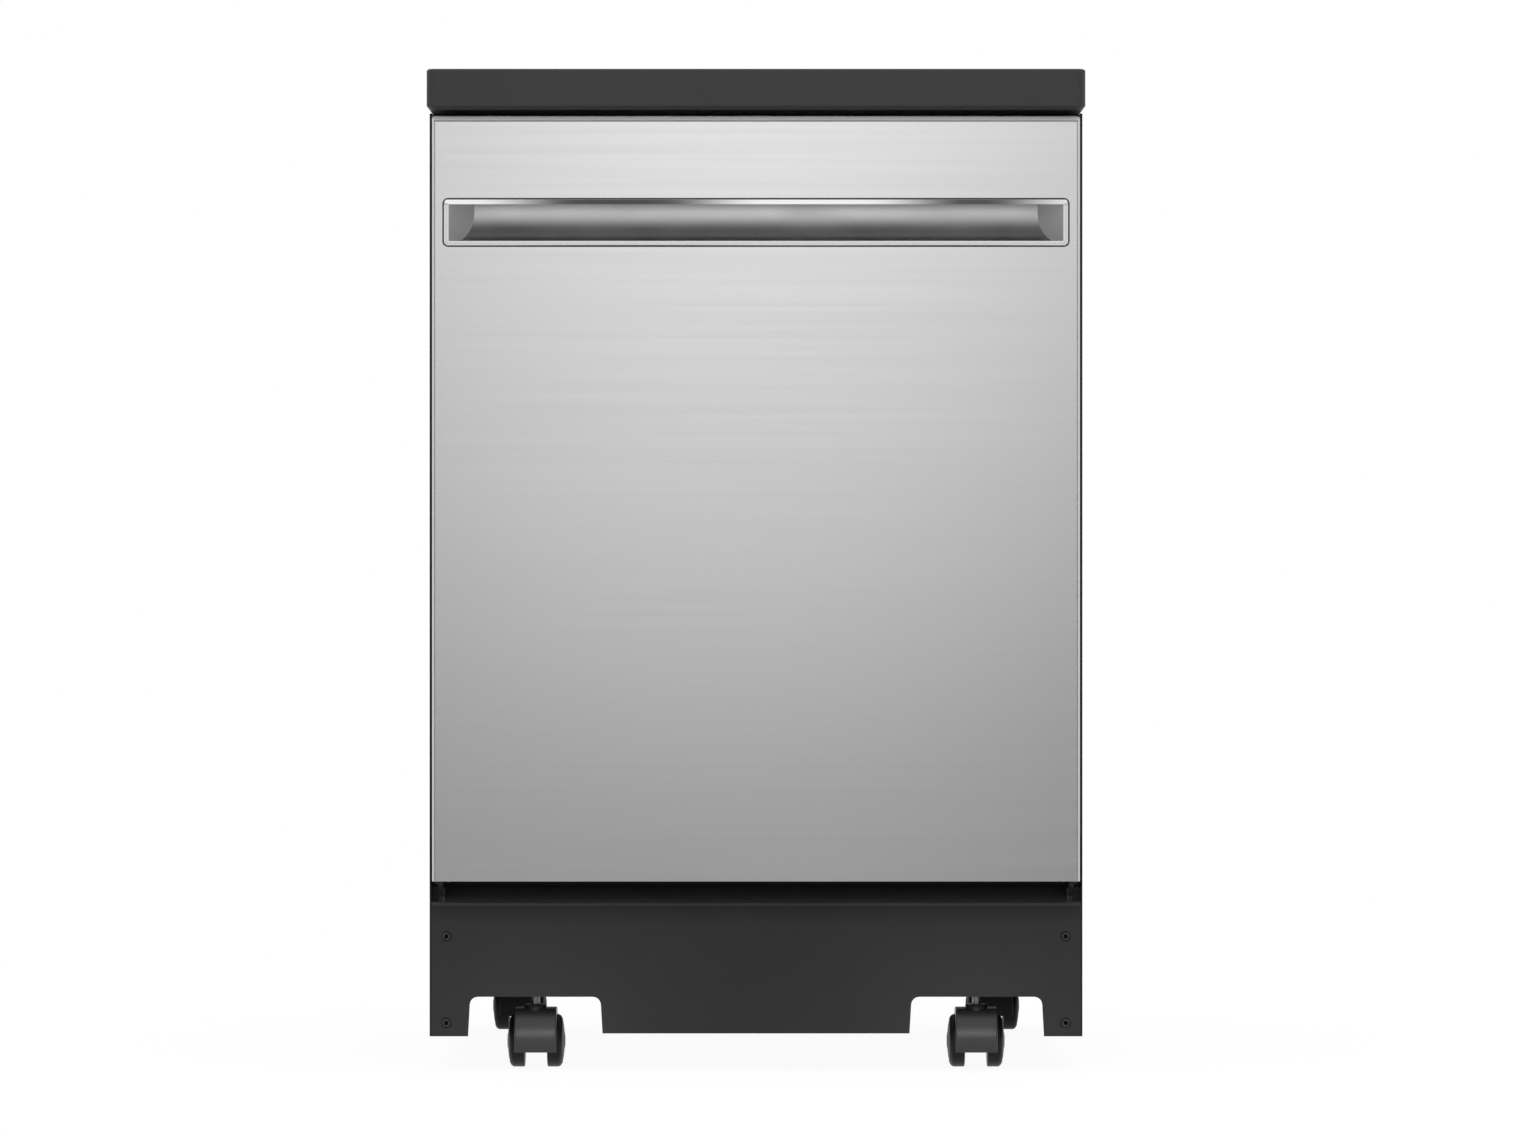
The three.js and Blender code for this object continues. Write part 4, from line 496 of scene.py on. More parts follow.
def moulded(name, rgb, roughness, grain=1400.0, depth=0.00006, dust=0.0, wear=0.0, contrast=0.12,
            shine=0.5):
    """Moulded plastic, laminate, rubber or sprayed paint with a pebbled skin."""
    material, tree, shader = start_material(name)
    skin = place_effect(tree, "Moulded grain", Grain=grain, Patch=14.0)
    base = mix_colour(tree, skin.outputs["Patch"], scaled(rgb, 1 - contrast), scaled(rgb, 1 + contrast))
    if wear:
        rubbed = place_effect(tree, "Rubbed edge", Amount=wear)
        base = mix_colour(tree, rubbed.outputs["Mask"], base, scaled(rgb, 2.4))
    if dust:
        settled = place_effect(tree, "Settled dust", Amount=dust)
        base = mix_colour(tree, settled.outputs["Mask"], base, (0.42, 0.41, 0.39))
    tree.links.new(base, shader.inputs["Base Color"])
    rough = ranged(tree, skin.outputs["Pebble"], (roughness - 0.07, roughness + 0.07))
    tree.links.new(rough, shader.inputs["Roughness"])
    bump = add_node(tree, "ShaderNodeBump", Height=skin.outputs["Pebble"], Strength=0.5, Distance=depth)
    tree.links.new(bump.outputs["Normal"], shader.inputs["Normal"])
    shader.inputs["Specular IOR Level"].default_value = shine
    return material


def steel_with_painted_bend_highlight(name, rgb, top):
    """Brushed door sheet with a painted highlight on its upper bend: paler colour there, and a rougher grain."""
    material = brushed_metal(name, rgb, 0.34)
    tree, shader = shader_of(material)
    painted_highlight_gain, rougher = 1.55, 0.25
    bend = ranged(tree, object_place(tree)["Z"], (0.0, 1.0), source=(top - 0.0038, top - 0.0030))
    steel = shader.inputs["Base Color"].links[0].from_socket
    # The paler colour on the bend is a painted highlight.
    tree.links.new(mix_colour(tree, bend, steel, scaled(rgb, painted_highlight_gain)), shader.inputs["Base Color"])
    rough = shader.inputs["Roughness"].links[0].from_socket
    opened = combine(tree, "ADD", combine(tree, "MULTIPLY", bend, rougher), rough, clamp=True)
    tree.links.new(opened, shader.inputs["Roughness"])
    return material


def steel_with_painted_shade_below(name, rgb, roughness, height):
    """Brushed tub steel, painted near black below a height as painted shade of the recess under the door."""
    material = brushed_metal(name, rgb, roughness, along=(40.0, 40.0, 700.0), depth=0.00001, contrast=0.04)
    tree, shader = shader_of(material)
    above_painted_shade = ranged(tree, object_place(tree)["Z"], (0.0, 1.0), source=(height - 0.0004, height + 0.0002))
    steel = shader.inputs["Base Color"].links[0].from_socket
    # Below the height the steel is painted near black: painted shade under the door, not a coat.
    tree.links.new(mix_colour(tree, above_painted_shade, (0.006, 0.006, 0.006), steel), shader.inputs["Base Color"])
    tree.links.new(above_painted_shade, shader.inputs["Metallic"])
    shader.inputs["Specular IOR Level"].default_value = 0.1
    return material


def paint_with_painted_fold_light(name, rgb, fold):
    """Sprayed paint with painted light and shade: a painted highlight along the fold, painted shade under and
    over it.
    """
    material = moulded(name, rgb, 0.55, grain=1800.0, depth=0.00004, shine=0.25)
    tree, shader = shader_of(material)
    full = 0.62
    reach = ranged(tree, object_place(tree)["Z"], (0.0, 1.0), source=(fold - 0.024, fold + 0.016))
    # The ramp paints a highlight on the fold and shade below and above it, darkest under the door.
    level = grey_ramp(tree, reach, ((0.0, full), (0.12, 0.61), (0.42, 0.44), (0.54, 0.43), (0.57, 1.0),
                                    (0.61, 1.0), (0.65, 0.72), (1.0, 0.24)))
    paint = shader.inputs["Base Color"].links[0].from_socket
    # Darkened by the painted shade, then lifted so that the fold's painted highlight is brighter than the plain
    # paint.
    thick = mix_colour(tree, 1.0, paint, level, "MULTIPLY")
    paint_with_painted_light = mix_colour(tree, 1.0, thick, (1 / full, 1 / full, 1 / full), "MULTIPLY")
    tree.links.new(paint_with_painted_light, shader.inputs["Base Color"])
    return material


def zinc_sheet(name):
    """Galvanised sheet with its crystal spangle."""
    material, tree, shader = start_material(name)
    where = add_node(tree, "ShaderNodeTexCoord")
    spangle = add_node(tree, "ShaderNodeTexVoronoi", Vector=where.outputs["Object"], Scale=110.0)
    tone = add_node(tree, "ShaderNodeSeparateColor", i0=spangle.outputs["Color"])
    base = mix_colour(tree, tone.outputs[0], (0.40, 0.41, 0.42), (0.52, 0.53, 0.54))
    tree.links.new(base, shader.inputs["Base Color"])
    rough = ranged(tree, tone.outputs[1], (0.34, 0.52))
    tree.links.new(rough, shader.inputs["Roughness"])
    shader.inputs["Metallic"].default_value = 0.85
    return material


FINISHES = {}


def finish(name):
    """The finish of that name, made once."""
    if name not in FINISHES:
        FINISHES[name] = make_finish(name)
    return FINISHES[name]


def make_finish(name):
    """Builds one of the finishes from the settings."""
    scene = bpy.context.scene
    cabinet, door = scene.dishwasher_cabinet, scene.dishwasher_door
    racks, casters = scene.dishwasher_racks, scene.dishwasher_casters
    steel = tuple(door.steel_colour)
    makers = {
        "worktop laminate": lambda: moulded(
            name, tuple(cabinet.worktop_colour), 0.52, grain=2200.0, depth=0.00005,
            contrast=0.06, shine=0.3),
        "side paint": lambda: moulded(
            name, tuple(cabinet.side_colour), 0.42, grain=1800.0, depth=0.00003, shine=0.3),
        # The toe kick carries a painted highlight on its fold and painted shade around it.
        "kick paint": lambda: paint_with_painted_fold_light(name, tuple(cabinet.kick_colour), cabinet.fold_height),
        # The door's upper bend carries a painted highlight.
        "door stainless": lambda: steel_with_painted_bend_highlight(name, steel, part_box("door_outer_panel")[1].z),
        "tub stainless": lambda: brushed_metal(
            name, scaled(steel, 0.95), 0.26, along=(40.0, 40.0, 700.0), depth=0.00001, contrast=0.04),
        # The tub shell is painted near black low down as painted shade.
        "tub shell": lambda: steel_with_painted_shade_below(name, scaled(steel, 0.95), 0.26, cabinet.painted_shade_height),
        "pocket satin": lambda: polished_metal(name, scaled(steel, 0.86), 0.32),
        "bright rim": lambda: polished_metal(name, (0.90, 0.90, 0.90), 0.08),
        "satin rim": lambda: polished_metal(name, scaled(steel, 1.10), 0.20),
        "bright steel": lambda: polished_metal(name, (0.58, 0.58, 0.58), 0.22),
        "heater tube": lambda: brushed_metal(name, (0.42, 0.41, 0.40), 0.33, along=(90.0, 90.0, 90.0)),
        "black screw": lambda: moulded(name, (0.030, 0.030, 0.031), 0.38, grain=2600.0, wear=0.4),
        "zinc sheet": lambda: zinc_sheet(name),
        # Near black that stands in for shade: on the side panels' inner faces and round and in the screw heads.
        "painted shade black": lambda: moulded(
            name, (0.005, 0.005, 0.005), 0.85, grain=900.0, depth=0.0001, shine=0.05),
        "plain steel": lambda: polished_metal(name, (0.30, 0.30, 0.31), 0.34),
        "gasket rubber": lambda: moulded(name, (0.035, 0.035, 0.037), 0.72, grain=1500.0, depth=0.00008),
        "black plastic": lambda: moulded(name, (0.016, 0.016, 0.017), 0.45, grain=1700.0),
        "grey plastic": lambda: moulded(name, (0.30, 0.31, 0.33), 0.48, grain=1500.0, contrast=0.05),
        "dark grey plastic": lambda: moulded(
            name, (0.085, 0.088, 0.095), 0.46, grain=1500.0, contrast=0.06),
        "white plastic": lambda: moulded(name, (0.74, 0.75, 0.76), 0.42, grain=1500.0, contrast=0.03),
        "motor paint": lambda: moulded(name, (0.05, 0.05, 0.055), 0.40, grain=900.0, dust=0.15),
        "rack coat": lambda: moulded(
            name, tuple(racks.coat_colour), 0.36, grain=700.0, depth=0.00005, contrast=0.05),
        "caster hood": lambda: moulded(
            name, tuple(casters.hood_colour), 0.34, grain=1600.0, depth=0.00002, dust=0.03, shine=0.5),
        "caster wheel": lambda: moulded(
            name, tuple(casters.wheel_colour), 0.42, grain=1200.0, depth=0.00004, dust=0.01, shine=0.18),
        "caster in painted shade": lambda: moulded(
            name, tuple(casters.rear_painted_shade_colour), 0.55, grain=1600.0, depth=0.00003, dust=0.01, shine=0.12),
        "indicator lens": lambda: moulded(name, (0.10, 0.16, 0.11), 0.12, grain=200.0, depth=0.0),
    }
    return makers[name]()


# ---------------------------------------------------------------------------
# Cabinet
# ---------------------------------------------------------------------------
def make_cabinet(settings):
    edge = settings.edge_round
    dress_nodes(["worktop"], "worktop laminate", bevel=edge)
    dress_nodes(["side_panel_left", "side_panel_right"], "side paint", bevel=edge * 0.5)
    for side, sign in (("left", 1), ("right", -1)):
        # The panels' inner faces are painted near black as painted shade.
        paint_inner_faces_shade_black(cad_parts[f"side_panel_{side}"].data, sign, finish("painted shade black"))
    dress_nodes(["toe_kick"], "kick paint", bevel=edge * 0.5)
    dress_nodes(["base_frame"], "side paint", bevel=edge * 0.6)
    dress_nodes(["hose_bay"], "black plastic", bevel=edge)
    make_rear_panel(settings)
    for level in ("upper", "lower"):
        for side in ("left", "right"):
            make_kick_screw(f"toe_kick_screw_{level}_{side}")


def paint_inner_faces_shade_black(mesh, sign, shade_black):
    """Paints the faces of a side panel that look towards the tub near black, as painted shade inside the
    cabinet.
    """
    mesh.materials.append(shade_black)
    for face in mesh.polygons:
        if face.normal.x * sign > 0.9:
            face.material_index = 1


def make_rear_panel(settings):
    """The rear panel with its hose bay hole, a pressed border and a bank of louvres."""
    dress_nodes(["rear_panel"], "zinc sheet")
    low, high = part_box("rear_panel")
    bm = bmesh.new()
    face = high.y - 0.0004
    lip = [(0.0, 0.0), (0.0018, 0.002), (0.0022, 0.005), (0.0012, 0.0085), (0.0, 0.0105)]
    taper = 0.006
    for z in spread(low.z + 0.06, low.z + 0.30, settings.louvre_count):
        for x0, x1 in ((-0.20, -0.02), (0.02, 0.20)):
            ends = ((x0, 0.1), (x0 + taper, 1.0), (x1 - taper, 1.0), (x1, 0.1))
            add_rings(bm, [[Vector((x, face + y * share, z + rise)) for y, rise in lip] for x, share in ends])
    recalc(bm)
    finish_piece(bm, "rear_panel_louvres", "cabinet", "zinc sheet", smooth_angle=50)
    bm = bmesh.new()
    border = 0.022
    outline = rounded_rectangle(low.x + border, high.x - border, low.z + border, high.z - border, 0.012)
    add_sweep(bm, [(x, face, z) for x, z in outline], 0.0016, closed=True)
    finish_piece(bm, "rear_panel_bead", "cabinet", "zinc sheet", smooth_angle=60)


def make_kick_screw(node):
    """A pan-head screw with a cross recess."""
    low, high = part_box(node)
    x, _, z = midpoint(low, high)
    radius, seat = (high.x - low.x) / 2, low.y + 0.0018
    bm = bmesh.new()
    arm, reach = 0.0008, 0.0024

    def ring(reach_at, proud):
        return [Vector((x + reach_at(a) * math.cos(a), seat - proud, z + reach_at(a) * math.sin(a)))
                for a in turns(48)]

    def cross(a):
        c, s = abs(math.cos(a)), abs(math.sin(a))
        return min(reach / max(c, s, 1e-6), arm / max(min(c, s), 1e-6))

    head = ((1.0, 0.0), (1.0, 0.0003), (0.84, 0.0003), (0.82, 0.0008), (0.76, 0.0012), (0.66, 0.0015),
            (0.60, 0.0017))
    rings = [ring(lambda a: radius * share, proud) for share, proud in head]
    rings += [ring(cross, 0.0018), ring(lambda a: cross(a) * 0.8, 0.0004)]
    add_rings(bm, rings)
    add_lathe(bm, [(0, 0), (0.0019, 0), (0.0019, 0.007), (0, 0.007)], (x, seat, z), axis="y", steps=16)
    recalc(bm)
    piece = finish_piece(bm, node + "_head", "cabinet", "black screw", [node], 40)
    # The ring round each head and its cross recess are painted near black: painted shade of the gap and the
    # recess.
    piece.data.materials.append(finish("painted shade black"))
    for face in piece.data.polygons:
        away = math.hypot(face.center.x - x, face.center.z - z)
        face.material_index = 1 if away > radius * 0.85 or away < reach * 0.9 else 0


# ---------------------------------------------------------------------------
# Tub and wet parts
# ---------------------------------------------------------------------------
def make_tub():
    dress_nodes(["tub"], "tub shell", bevel=0.0012)
    dress_nodes(["filter_plate"], "tub stainless", bevel=0.0003)
    dress_nodes(["rack_rail_left", "rack_rail_right"], "tub stainless", bevel=0.0004)
    dress_nodes(["latch_strike", "door_spring_left", "door_spring_right"], "bright steel", bevel=0.0003)
    dress_nodes([f"caster_stem_{c}" for c in CORNERS], "plain steel", bevel=0.0003)
    dress_nodes(["sump"], "black plastic", bevel=0.0008)
    dress_nodes(["wash_pump"], "motor paint", bevel=0.0015)
    dress_nodes(["drain_pump"], "dark grey plastic", bevel=0.001)
    dress_nodes(["inlet_valve"], "white plastic", bevel=0.001)
    dress_nodes(["spray_riser", "upper_feed_tube"], "grey plastic", bevel=0.001)
    make_gasket()
    make_heater()
    make_float()
    make_filter()


def make_gasket():
    """The door seal: a soft bulb on a flat foot, round three sides of the mouth."""
    low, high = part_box("tub_gasket")
    width = 0.012
    x0, x1 = low.x + width / 2, high.x - width / 2
    top = high.z - width / 2
    path = round_path([(x0, 0, low.z), (x0, 0, top), (x1, 0, top), (x1, 0, low.z)], 0.022, steps=9)
    depth = high.y - low.y
    half_bulb = [(0.0036, 0.08), (0.0052, 0.30), (0.0044, 0.55), (0.0058, 0.72), (0.0058, 1.0)]
    section = [(-u, v) for u, v in reversed(half_bulb)] + [(0.0, 0.0)] + half_bulb
    rings = []
    for i, point in enumerate(path):
        before, after = path[max(0, i - 1)], path[min(len(path) - 1, i + 1)]
        tangent = (after - before).normalized()
        across = Vector((tangent.z, 0, -tangent.x))
        rings.append([point + across * u + Vector((0, low.y + v * depth, 0)) for u, v in section])
    bm = bmesh.new()
    add_rings(bm, rings)
    recalc(bm)
    finish_piece(bm, "door_seal", "cabinet", "gasket rubber", ["tub_gasket"])


def make_heater():
    """The heating element: one tube round the floor with two legs and two clips."""
    low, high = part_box("heating_element")
    r = 0.0039
    z = high.z - r - 0.0001
    cx, gap = 0.090, 0.030
    x0, x1, y0, y1 = low.x + r, high.x - r, low.y + r, 0.166
    path = [(cx - gap, y1, low.z + 0.001), (cx - gap, y1, z), (x0, y1, z), (x0, y0, z), (x1, y0, z),
            (x1, y1, z), (cx + gap, y1, z), (cx + gap, y1, low.z + 0.001)]
    smooth = [path[0]] + [tuple(p) for p in round_path(path[0:3], 0.012)[1:-1]]
    smooth += [tuple(p) for p in round_path(path[1:7], 0.095, steps=10)[1:-1]]
    smooth += [tuple(p) for p in round_path(path[5:8], 0.012)[1:-1]] + [path[-1]]
    bm = bmesh.new()
    add_sweep(bm, smooth, r, sides=14)
    for x in (cx - gap, cx + gap):
        add_lathe(bm, [(0, 0), (0.0085, 0), (0.0085, 0.004), (0.0062, 0.0065), (0, 0.0065)],
                  (x, y1, low.z), steps=24)
    for x in (x0, x1):
        add_box(bm, (x - 0.0045, -0.026, low.z), (x + 0.0045, -0.0145, z - r * 0.4))
    recalc(bm)
    finish_piece(bm, "heater_loop", "cabinet", "heater tube", ["heating_element"], 40)


def make_float():
    """The overfill float: a domed cap over its stem, with slots round the skirt."""
    low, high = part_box("float")
    x, y, _ = midpoint(low, high)
    r, top = (high.x - low.x) / 2, high.z
    base = top - 0.0337
    bm = bmesh.new()
    profile = [(0.004, low.z), (0.004, base), (r * 0.97, base), (r, base + 0.002), (r, top - 0.010)]
    profile += [(r * math.cos(a) ** 0.6 if a < 1.5 else 0.0, top - 0.010 + 0.010 * math.sin(a))
                for a in spread(0.1, math.pi / 2, 9)]
    add_lathe(bm, [(0, low.z)] + profile, (x, y, 0), steps=40)
    for a in turns(10):
        at = (x + r * math.cos(a), y + r * math.sin(a), base + 0.009)
        add_turned_box(bm, at, a, "Z", (0.0006, 0.0026, 0.013))
    recalc(bm)
    finish_piece(bm, "float_cap", "overfill_float", "grey plastic", ["float"], 50)


def make_filter():
    """The twist-out filter: a ribbed cage round a solid core, its collar and its grip."""
    low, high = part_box("filter_cylinder")
    x, y, _ = midpoint(low, high)
    r, core, hoop = 0.0215, 0.0203, 0.0012
    top = high.z - 0.0150
    bm = bmesh.new()
    add_lathe(bm, [(0, low.z), (core, low.z), (core, top - 0.001), (0, top - 0.001)], (x, y, 0), steps=48)
    for z in spread(low.z + 0.002, top - 0.006, 5):
        add_lathe(bm, [(r - 0.0014, z - hoop), (r, z - hoop), (r, z + hoop), (r - 0.0014, z + hoop)],
                  (x, y, 0), steps=48)
    rib = r - 0.0006
    for a in turns(16):
        at = (x + rib * math.cos(a), y + rib * math.sin(a), (low.z + top) / 2)
        add_turned_box(bm, at, a, "Z", (0.0012, 0.0018, top - low.z - 0.006))
    collar = high.x - x
    add_lathe(bm, [(0, top - 0.0006), (collar, top - 0.0006), (collar, top + 0.0006),
                   (collar - 0.0012, top + 0.0013), (0, top + 0.0013)], (x, y, 0), steps=56)
    half_grip = [(0.0060, 1.0), (0.0120, 0.96), (0.0155, 0.7), (0.0170, 0.0)]
    grip = [(-u, v) for u, v in reversed(half_grip)] + half_grip
    add_rings(bm, [[Vector((x + u, y + side, top + v * (high.z - top - 0.0002))) for u, v in grip]
                   for side in (-0.0028, 0.0028)])
    recalc(bm)
    finish_piece(bm, "filter_cage", "filter", "grey plastic", ["filter_cylinder"], 40, 0.0004)


# ---------------------------------------------------------------------------
# Spray arms
# ---------------------------------------------------------------------------
def make_spray_arm(node, body, name, bore):
    """A blown arm: two swept blades with a rounded section, a stepped hub and slotted jets."""
    low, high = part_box(node)
    cx, cy, _ = midpoint(low, high)
    reach = (high.x - low.x) / 2
    mid = low.z + 0.0090
    root = bore + 0.0020
    bm = bmesh.new()
    for sign in (-1, 1):
        rings = []
        for t in spread(0.0, 1.0, 15):
            u = root + (reach - root) * t
            end = math.sqrt(max(0.0, 1 - max(0.0, (t - 0.94) / 0.06) ** 2))
            half = (0.0212 - 0.0078 * t) * (0.25 + 0.75 * end if t < 1 else 0.22)
            thick = (0.0049 - 0.0010 * t) * (0.4 + 0.6 * end)
            ring = []
            for a in turns(20):
                c, s = math.cos(a), math.sin(a)
                ring.append(Vector((
                    cx + sign * u,
                    cy + half * math.copysign(abs(c) ** 0.75, c),
                    mid + thick * math.copysign(abs(s) ** 0.8, s),
                )))
            rings.append(ring)
        add_rings(bm, rings)
        for i, t in enumerate(spread(0.14, 0.96, 6)):
            u = cx + sign * reach * t
            side = 0.005 if (i + (sign > 0)) % 2 else -0.005
            top = mid + 0.0046 - 0.0010 * t
            add_lathe(bm, [(0.0010, top - 0.001), (0.0042, top - 0.001), (0.0036, top + 0.0006),
                           (0.0014, top + 0.0006)], (u, cy + side, 0), steps=20)
            add_box(bm, (u - 0.0030, cy + side - 0.0007, top + 0.0003),
                    (u + 0.0030, cy + side + 0.0007, top + 0.0009))
    hub = high.z
    add_lathe(bm, [(bore, low.z), (0.0165, low.z), (0.0190, low.z + 0.002), (0.0190, hub - 0.007),
                   (0.0175, hub - 0.004), (0.0150, hub - 0.0030), (0.0150, hub - 0.0005),
                   (bore, hub - 0.0005)], (cx, cy, 0), steps=44)
    recalc(bm)
    finish_piece(bm, name, body, "grey plastic", [node], 40)


def make_spray_arms():
    make_spray_arm("lower_spray_arm", "lower_arm", "lower_arm_shell", 0.0123)
    make_spray_arm("upper_spray_arm", "upper_arm", "upper_arm_shell", 0.0103)


# ---------------------------------------------------------------------------
# Racks
# ---------------------------------------------------------------------------
def add_wire_basket(bm, settings, sizes, dip):
    """Floor and walls of one rack: bent wires both ways, a mid ring and a rim that dips in front."""
    half, front, rear, floor, rim = sizes
    lengthwise, crosswise = 13, 11
    r, rr = settings.wire_radius, settings.rim_radius
    top = rim - rr * 1.3
    y0, y1 = front + rr, rear - rr
    x0, x1 = -half + rr, half - rr
    low = floor + r
    for x in spread(x0 + 0.014, x1 - 0.014, lengthwise):
        path = [(x, y0 + r, top), (x, y0 + r, low + 2 * r), (x, y1 - r, low + 2 * r), (x, y1 - r, top)]
        add_sweep(bm, round_path(path, WIRE_BEND), r)
    for y in spread(y0 + 0.014, y1 - 0.014, crosswise):
        path = [(x0 + r, y, top), (x0 + r, y, low), (x1 - r, y, low), (x1 - r, y, top)]
        add_sweep(bm, round_path(path, WIRE_BEND), r)
    middle = floor + (rim - floor) * 0.45 + r
    add_sweep(bm, [(x, y, middle) for x, y in rounded_rectangle(x0, x1, y0, y1, 0.016, 6)], r, closed=True)
    outline = rounded_rectangle(x0, x1, y0, y1, 0.018, 6)
    path = []
    for x, y in outline:
        sag = dip if y < y0 + 0.001 and abs(x) < half * 0.45 else 0.0
        path.append((x, y, rim - rr - sag))
    add_sweep(bm, path, rr, closed=True, sides=10)


def add_tines(bm, settings, x, front, rear, base, height):
    """One row of plate tines: hoops of bent wire on a carrier wire."""
    r = settings.wire_radius
    count = max(2, int((rear - front) / settings.tine_pitch) + 1)
    add_sweep(bm, [(x, front, base + r), (x, rear, base + r)], r)
    lean, share = 0.006, 0.4
    for y in spread(front + 0.004, rear - 0.004, count):
        tip = (x + lean * share, y, base + height)
        add_sweep(bm, [(x, y, base + r), (x, y, base + height * 0.5), tip], r)
        bmesh.ops.create_uvsphere(bm, u_segments=8, v_segments=6, radius=r * 1.25,
                                  matrix=Matrix.Translation(tip))


def add_roller(bm, at, radius, width):
    """A rack roller: tyre, dished hub with spokes, and its axle."""
    w, bore, boss = width / 2, 0.0025, 0.0048
    tyre = [(radius * 0.74, -w), (radius * 0.94, -w), (radius, -w + 0.0012), (radius, w - 0.0012),
            (radius * 0.94, w), (radius * 0.74, w)]
    dish = [(bore, -w * 0.45), (radius * 0.76, -w * 0.45), (radius * 0.76, w * 0.45), (bore, w * 0.45)]
    axle = [(0.0, -w * 0.9), (boss, -w * 0.9), (boss, w * 0.9), (0.0, w * 0.9)]
    for profile, steps in ((tyre, 40), (dish, 40), (axle, 20)):
        add_lathe(bm, profile, at, axis="x", steps=steps)
    for a in turns(6):
        add_turned_box(bm, at, a, "X", (w * 1.3, 0.0022, radius * 0.5), shift=(0, 0, radius * 0.48))


def make_lower_rack(settings):
    half, rim = settings.half_width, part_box("lower_rack")[1].z
    front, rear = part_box("upper_rack")[0].y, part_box("upper_rack")[1].y
    floor = rim - 0.160
    bm = bmesh.new()
    add_wire_basket(bm, settings, (half, front, rear, floor, rim), dip=0.022)
    for x in (0.0764, 0.1171, 0.1577, 0.1990):
        add_tines(bm, settings, x, front + 0.075, rear - 0.02, floor + 0.006, 0.066)
    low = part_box("lower_rack")[0]
    axle_z, axles = low.z + 0.016, (low.y + 0.111, rear - 0.050)
    hook, axle_end, roller_x = floor + 0.075, 0.2625, 0.258
    for y in axles:
        for s in (-1, 1):
            x = s * (half - 0.002)
            hanger = [(x, y - 0.014, hook), (x, y - 0.010, axle_z), (x, y + 0.010, axle_z), (x, y + 0.014, hook)]
            add_sweep(bm, round_path(hanger, 0.007), settings.wire_radius)
            ends = sorted((s * (half - 0.003), s * axle_end))
            add_sweep(bm, [(ends[0], y, axle_z), (ends[1], y, axle_z)], 0.0024, sides=10)
    finish_piece(bm, "lower_rack_wires", "lower_rack_body", "rack coat", ["lower_rack"], 60)
    bm = bmesh.new()
    for y in axles:
        for s in (-1, 1):
            add_roller(bm, (s * roller_x, y, axle_z), 0.0159, 0.0098)
    recalc(bm)
    finish_piece(bm, "lower_rack_rollers", "lower_rack_body", "dark grey plastic", (), 40)


def make_upper_rack(settings):
    low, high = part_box("upper_rack")
    half, front, rear, floor, rim = settings.half_width, low.y, high.y, low.z, high.z
    bm = bmesh.new()
    add_wire_basket(bm, settings, (half, front, rear, floor, rim), dip=0.0)
    for x in (-0.1468, -0.1061, -0.0655):
        add_tines(bm, settings, x, front + 0.02, rear - 0.02, floor + 0.006, 0.060)
    finish_piece(bm, "upper_rack_wires", "upper_rack_body", "rack coat", ["upper_rack"], 60)
    bm = bmesh.new()
    z, slider, tab = floor + 0.036, 0.0043, 0.003
    for s in (-1, 1):
        inner, outer = sorted((s * 0.2585, s * (high.x - 0.0002)))
        add_box(bm, (inner, front + 0.001, z - slider), (outer, rear - 0.012, z + slider))
        for y in (front + 0.05, -0.02, rear - 0.06):
            a, b = sorted((s * (half - 0.003), s * 0.260))
            add_box(bm, (a, y - 0.012, z - tab), (b, y + 0.012, z + tab))
    finish_piece(bm, "upper_rack_sliders", "upper_rack_body", "bright steel", (), 40, 0.0008)


def add_lattice(bm, origin, along, up, length_, height, thick, columns, rows):
    """A moulded lattice wall of crossing bars."""
    origin, along, up = Vector(origin), Vector(along), Vector(up)
    normal = along.cross(up)
    bar = 0.0022

    def bar_box(a0, a1, u0, u1, t):
        corners = [origin + along * a + up * u + normal * n
                   for a in (a0, a1) for u in (u0, u1) for n in (-t / 2, t / 2)]
        low = Vector([min(c[i] for c in corners) for i in range(3)])
        high = Vector([max(c[i] for c in corners) for i in range(3)])
        add_box(bm, low, high)

    for a in spread(0, length_ - bar, columns):
        bar_box(a, a + bar, 0, height, thick * 0.98)
    for u in spread(0, height - bar, rows):
        bar_box(0, length_, u, u + bar, thick * 0.80)
    bar_box(0, length_, height - 0.008, height, thick)
    bar_box(0, length_, 0, 0.005, thick)


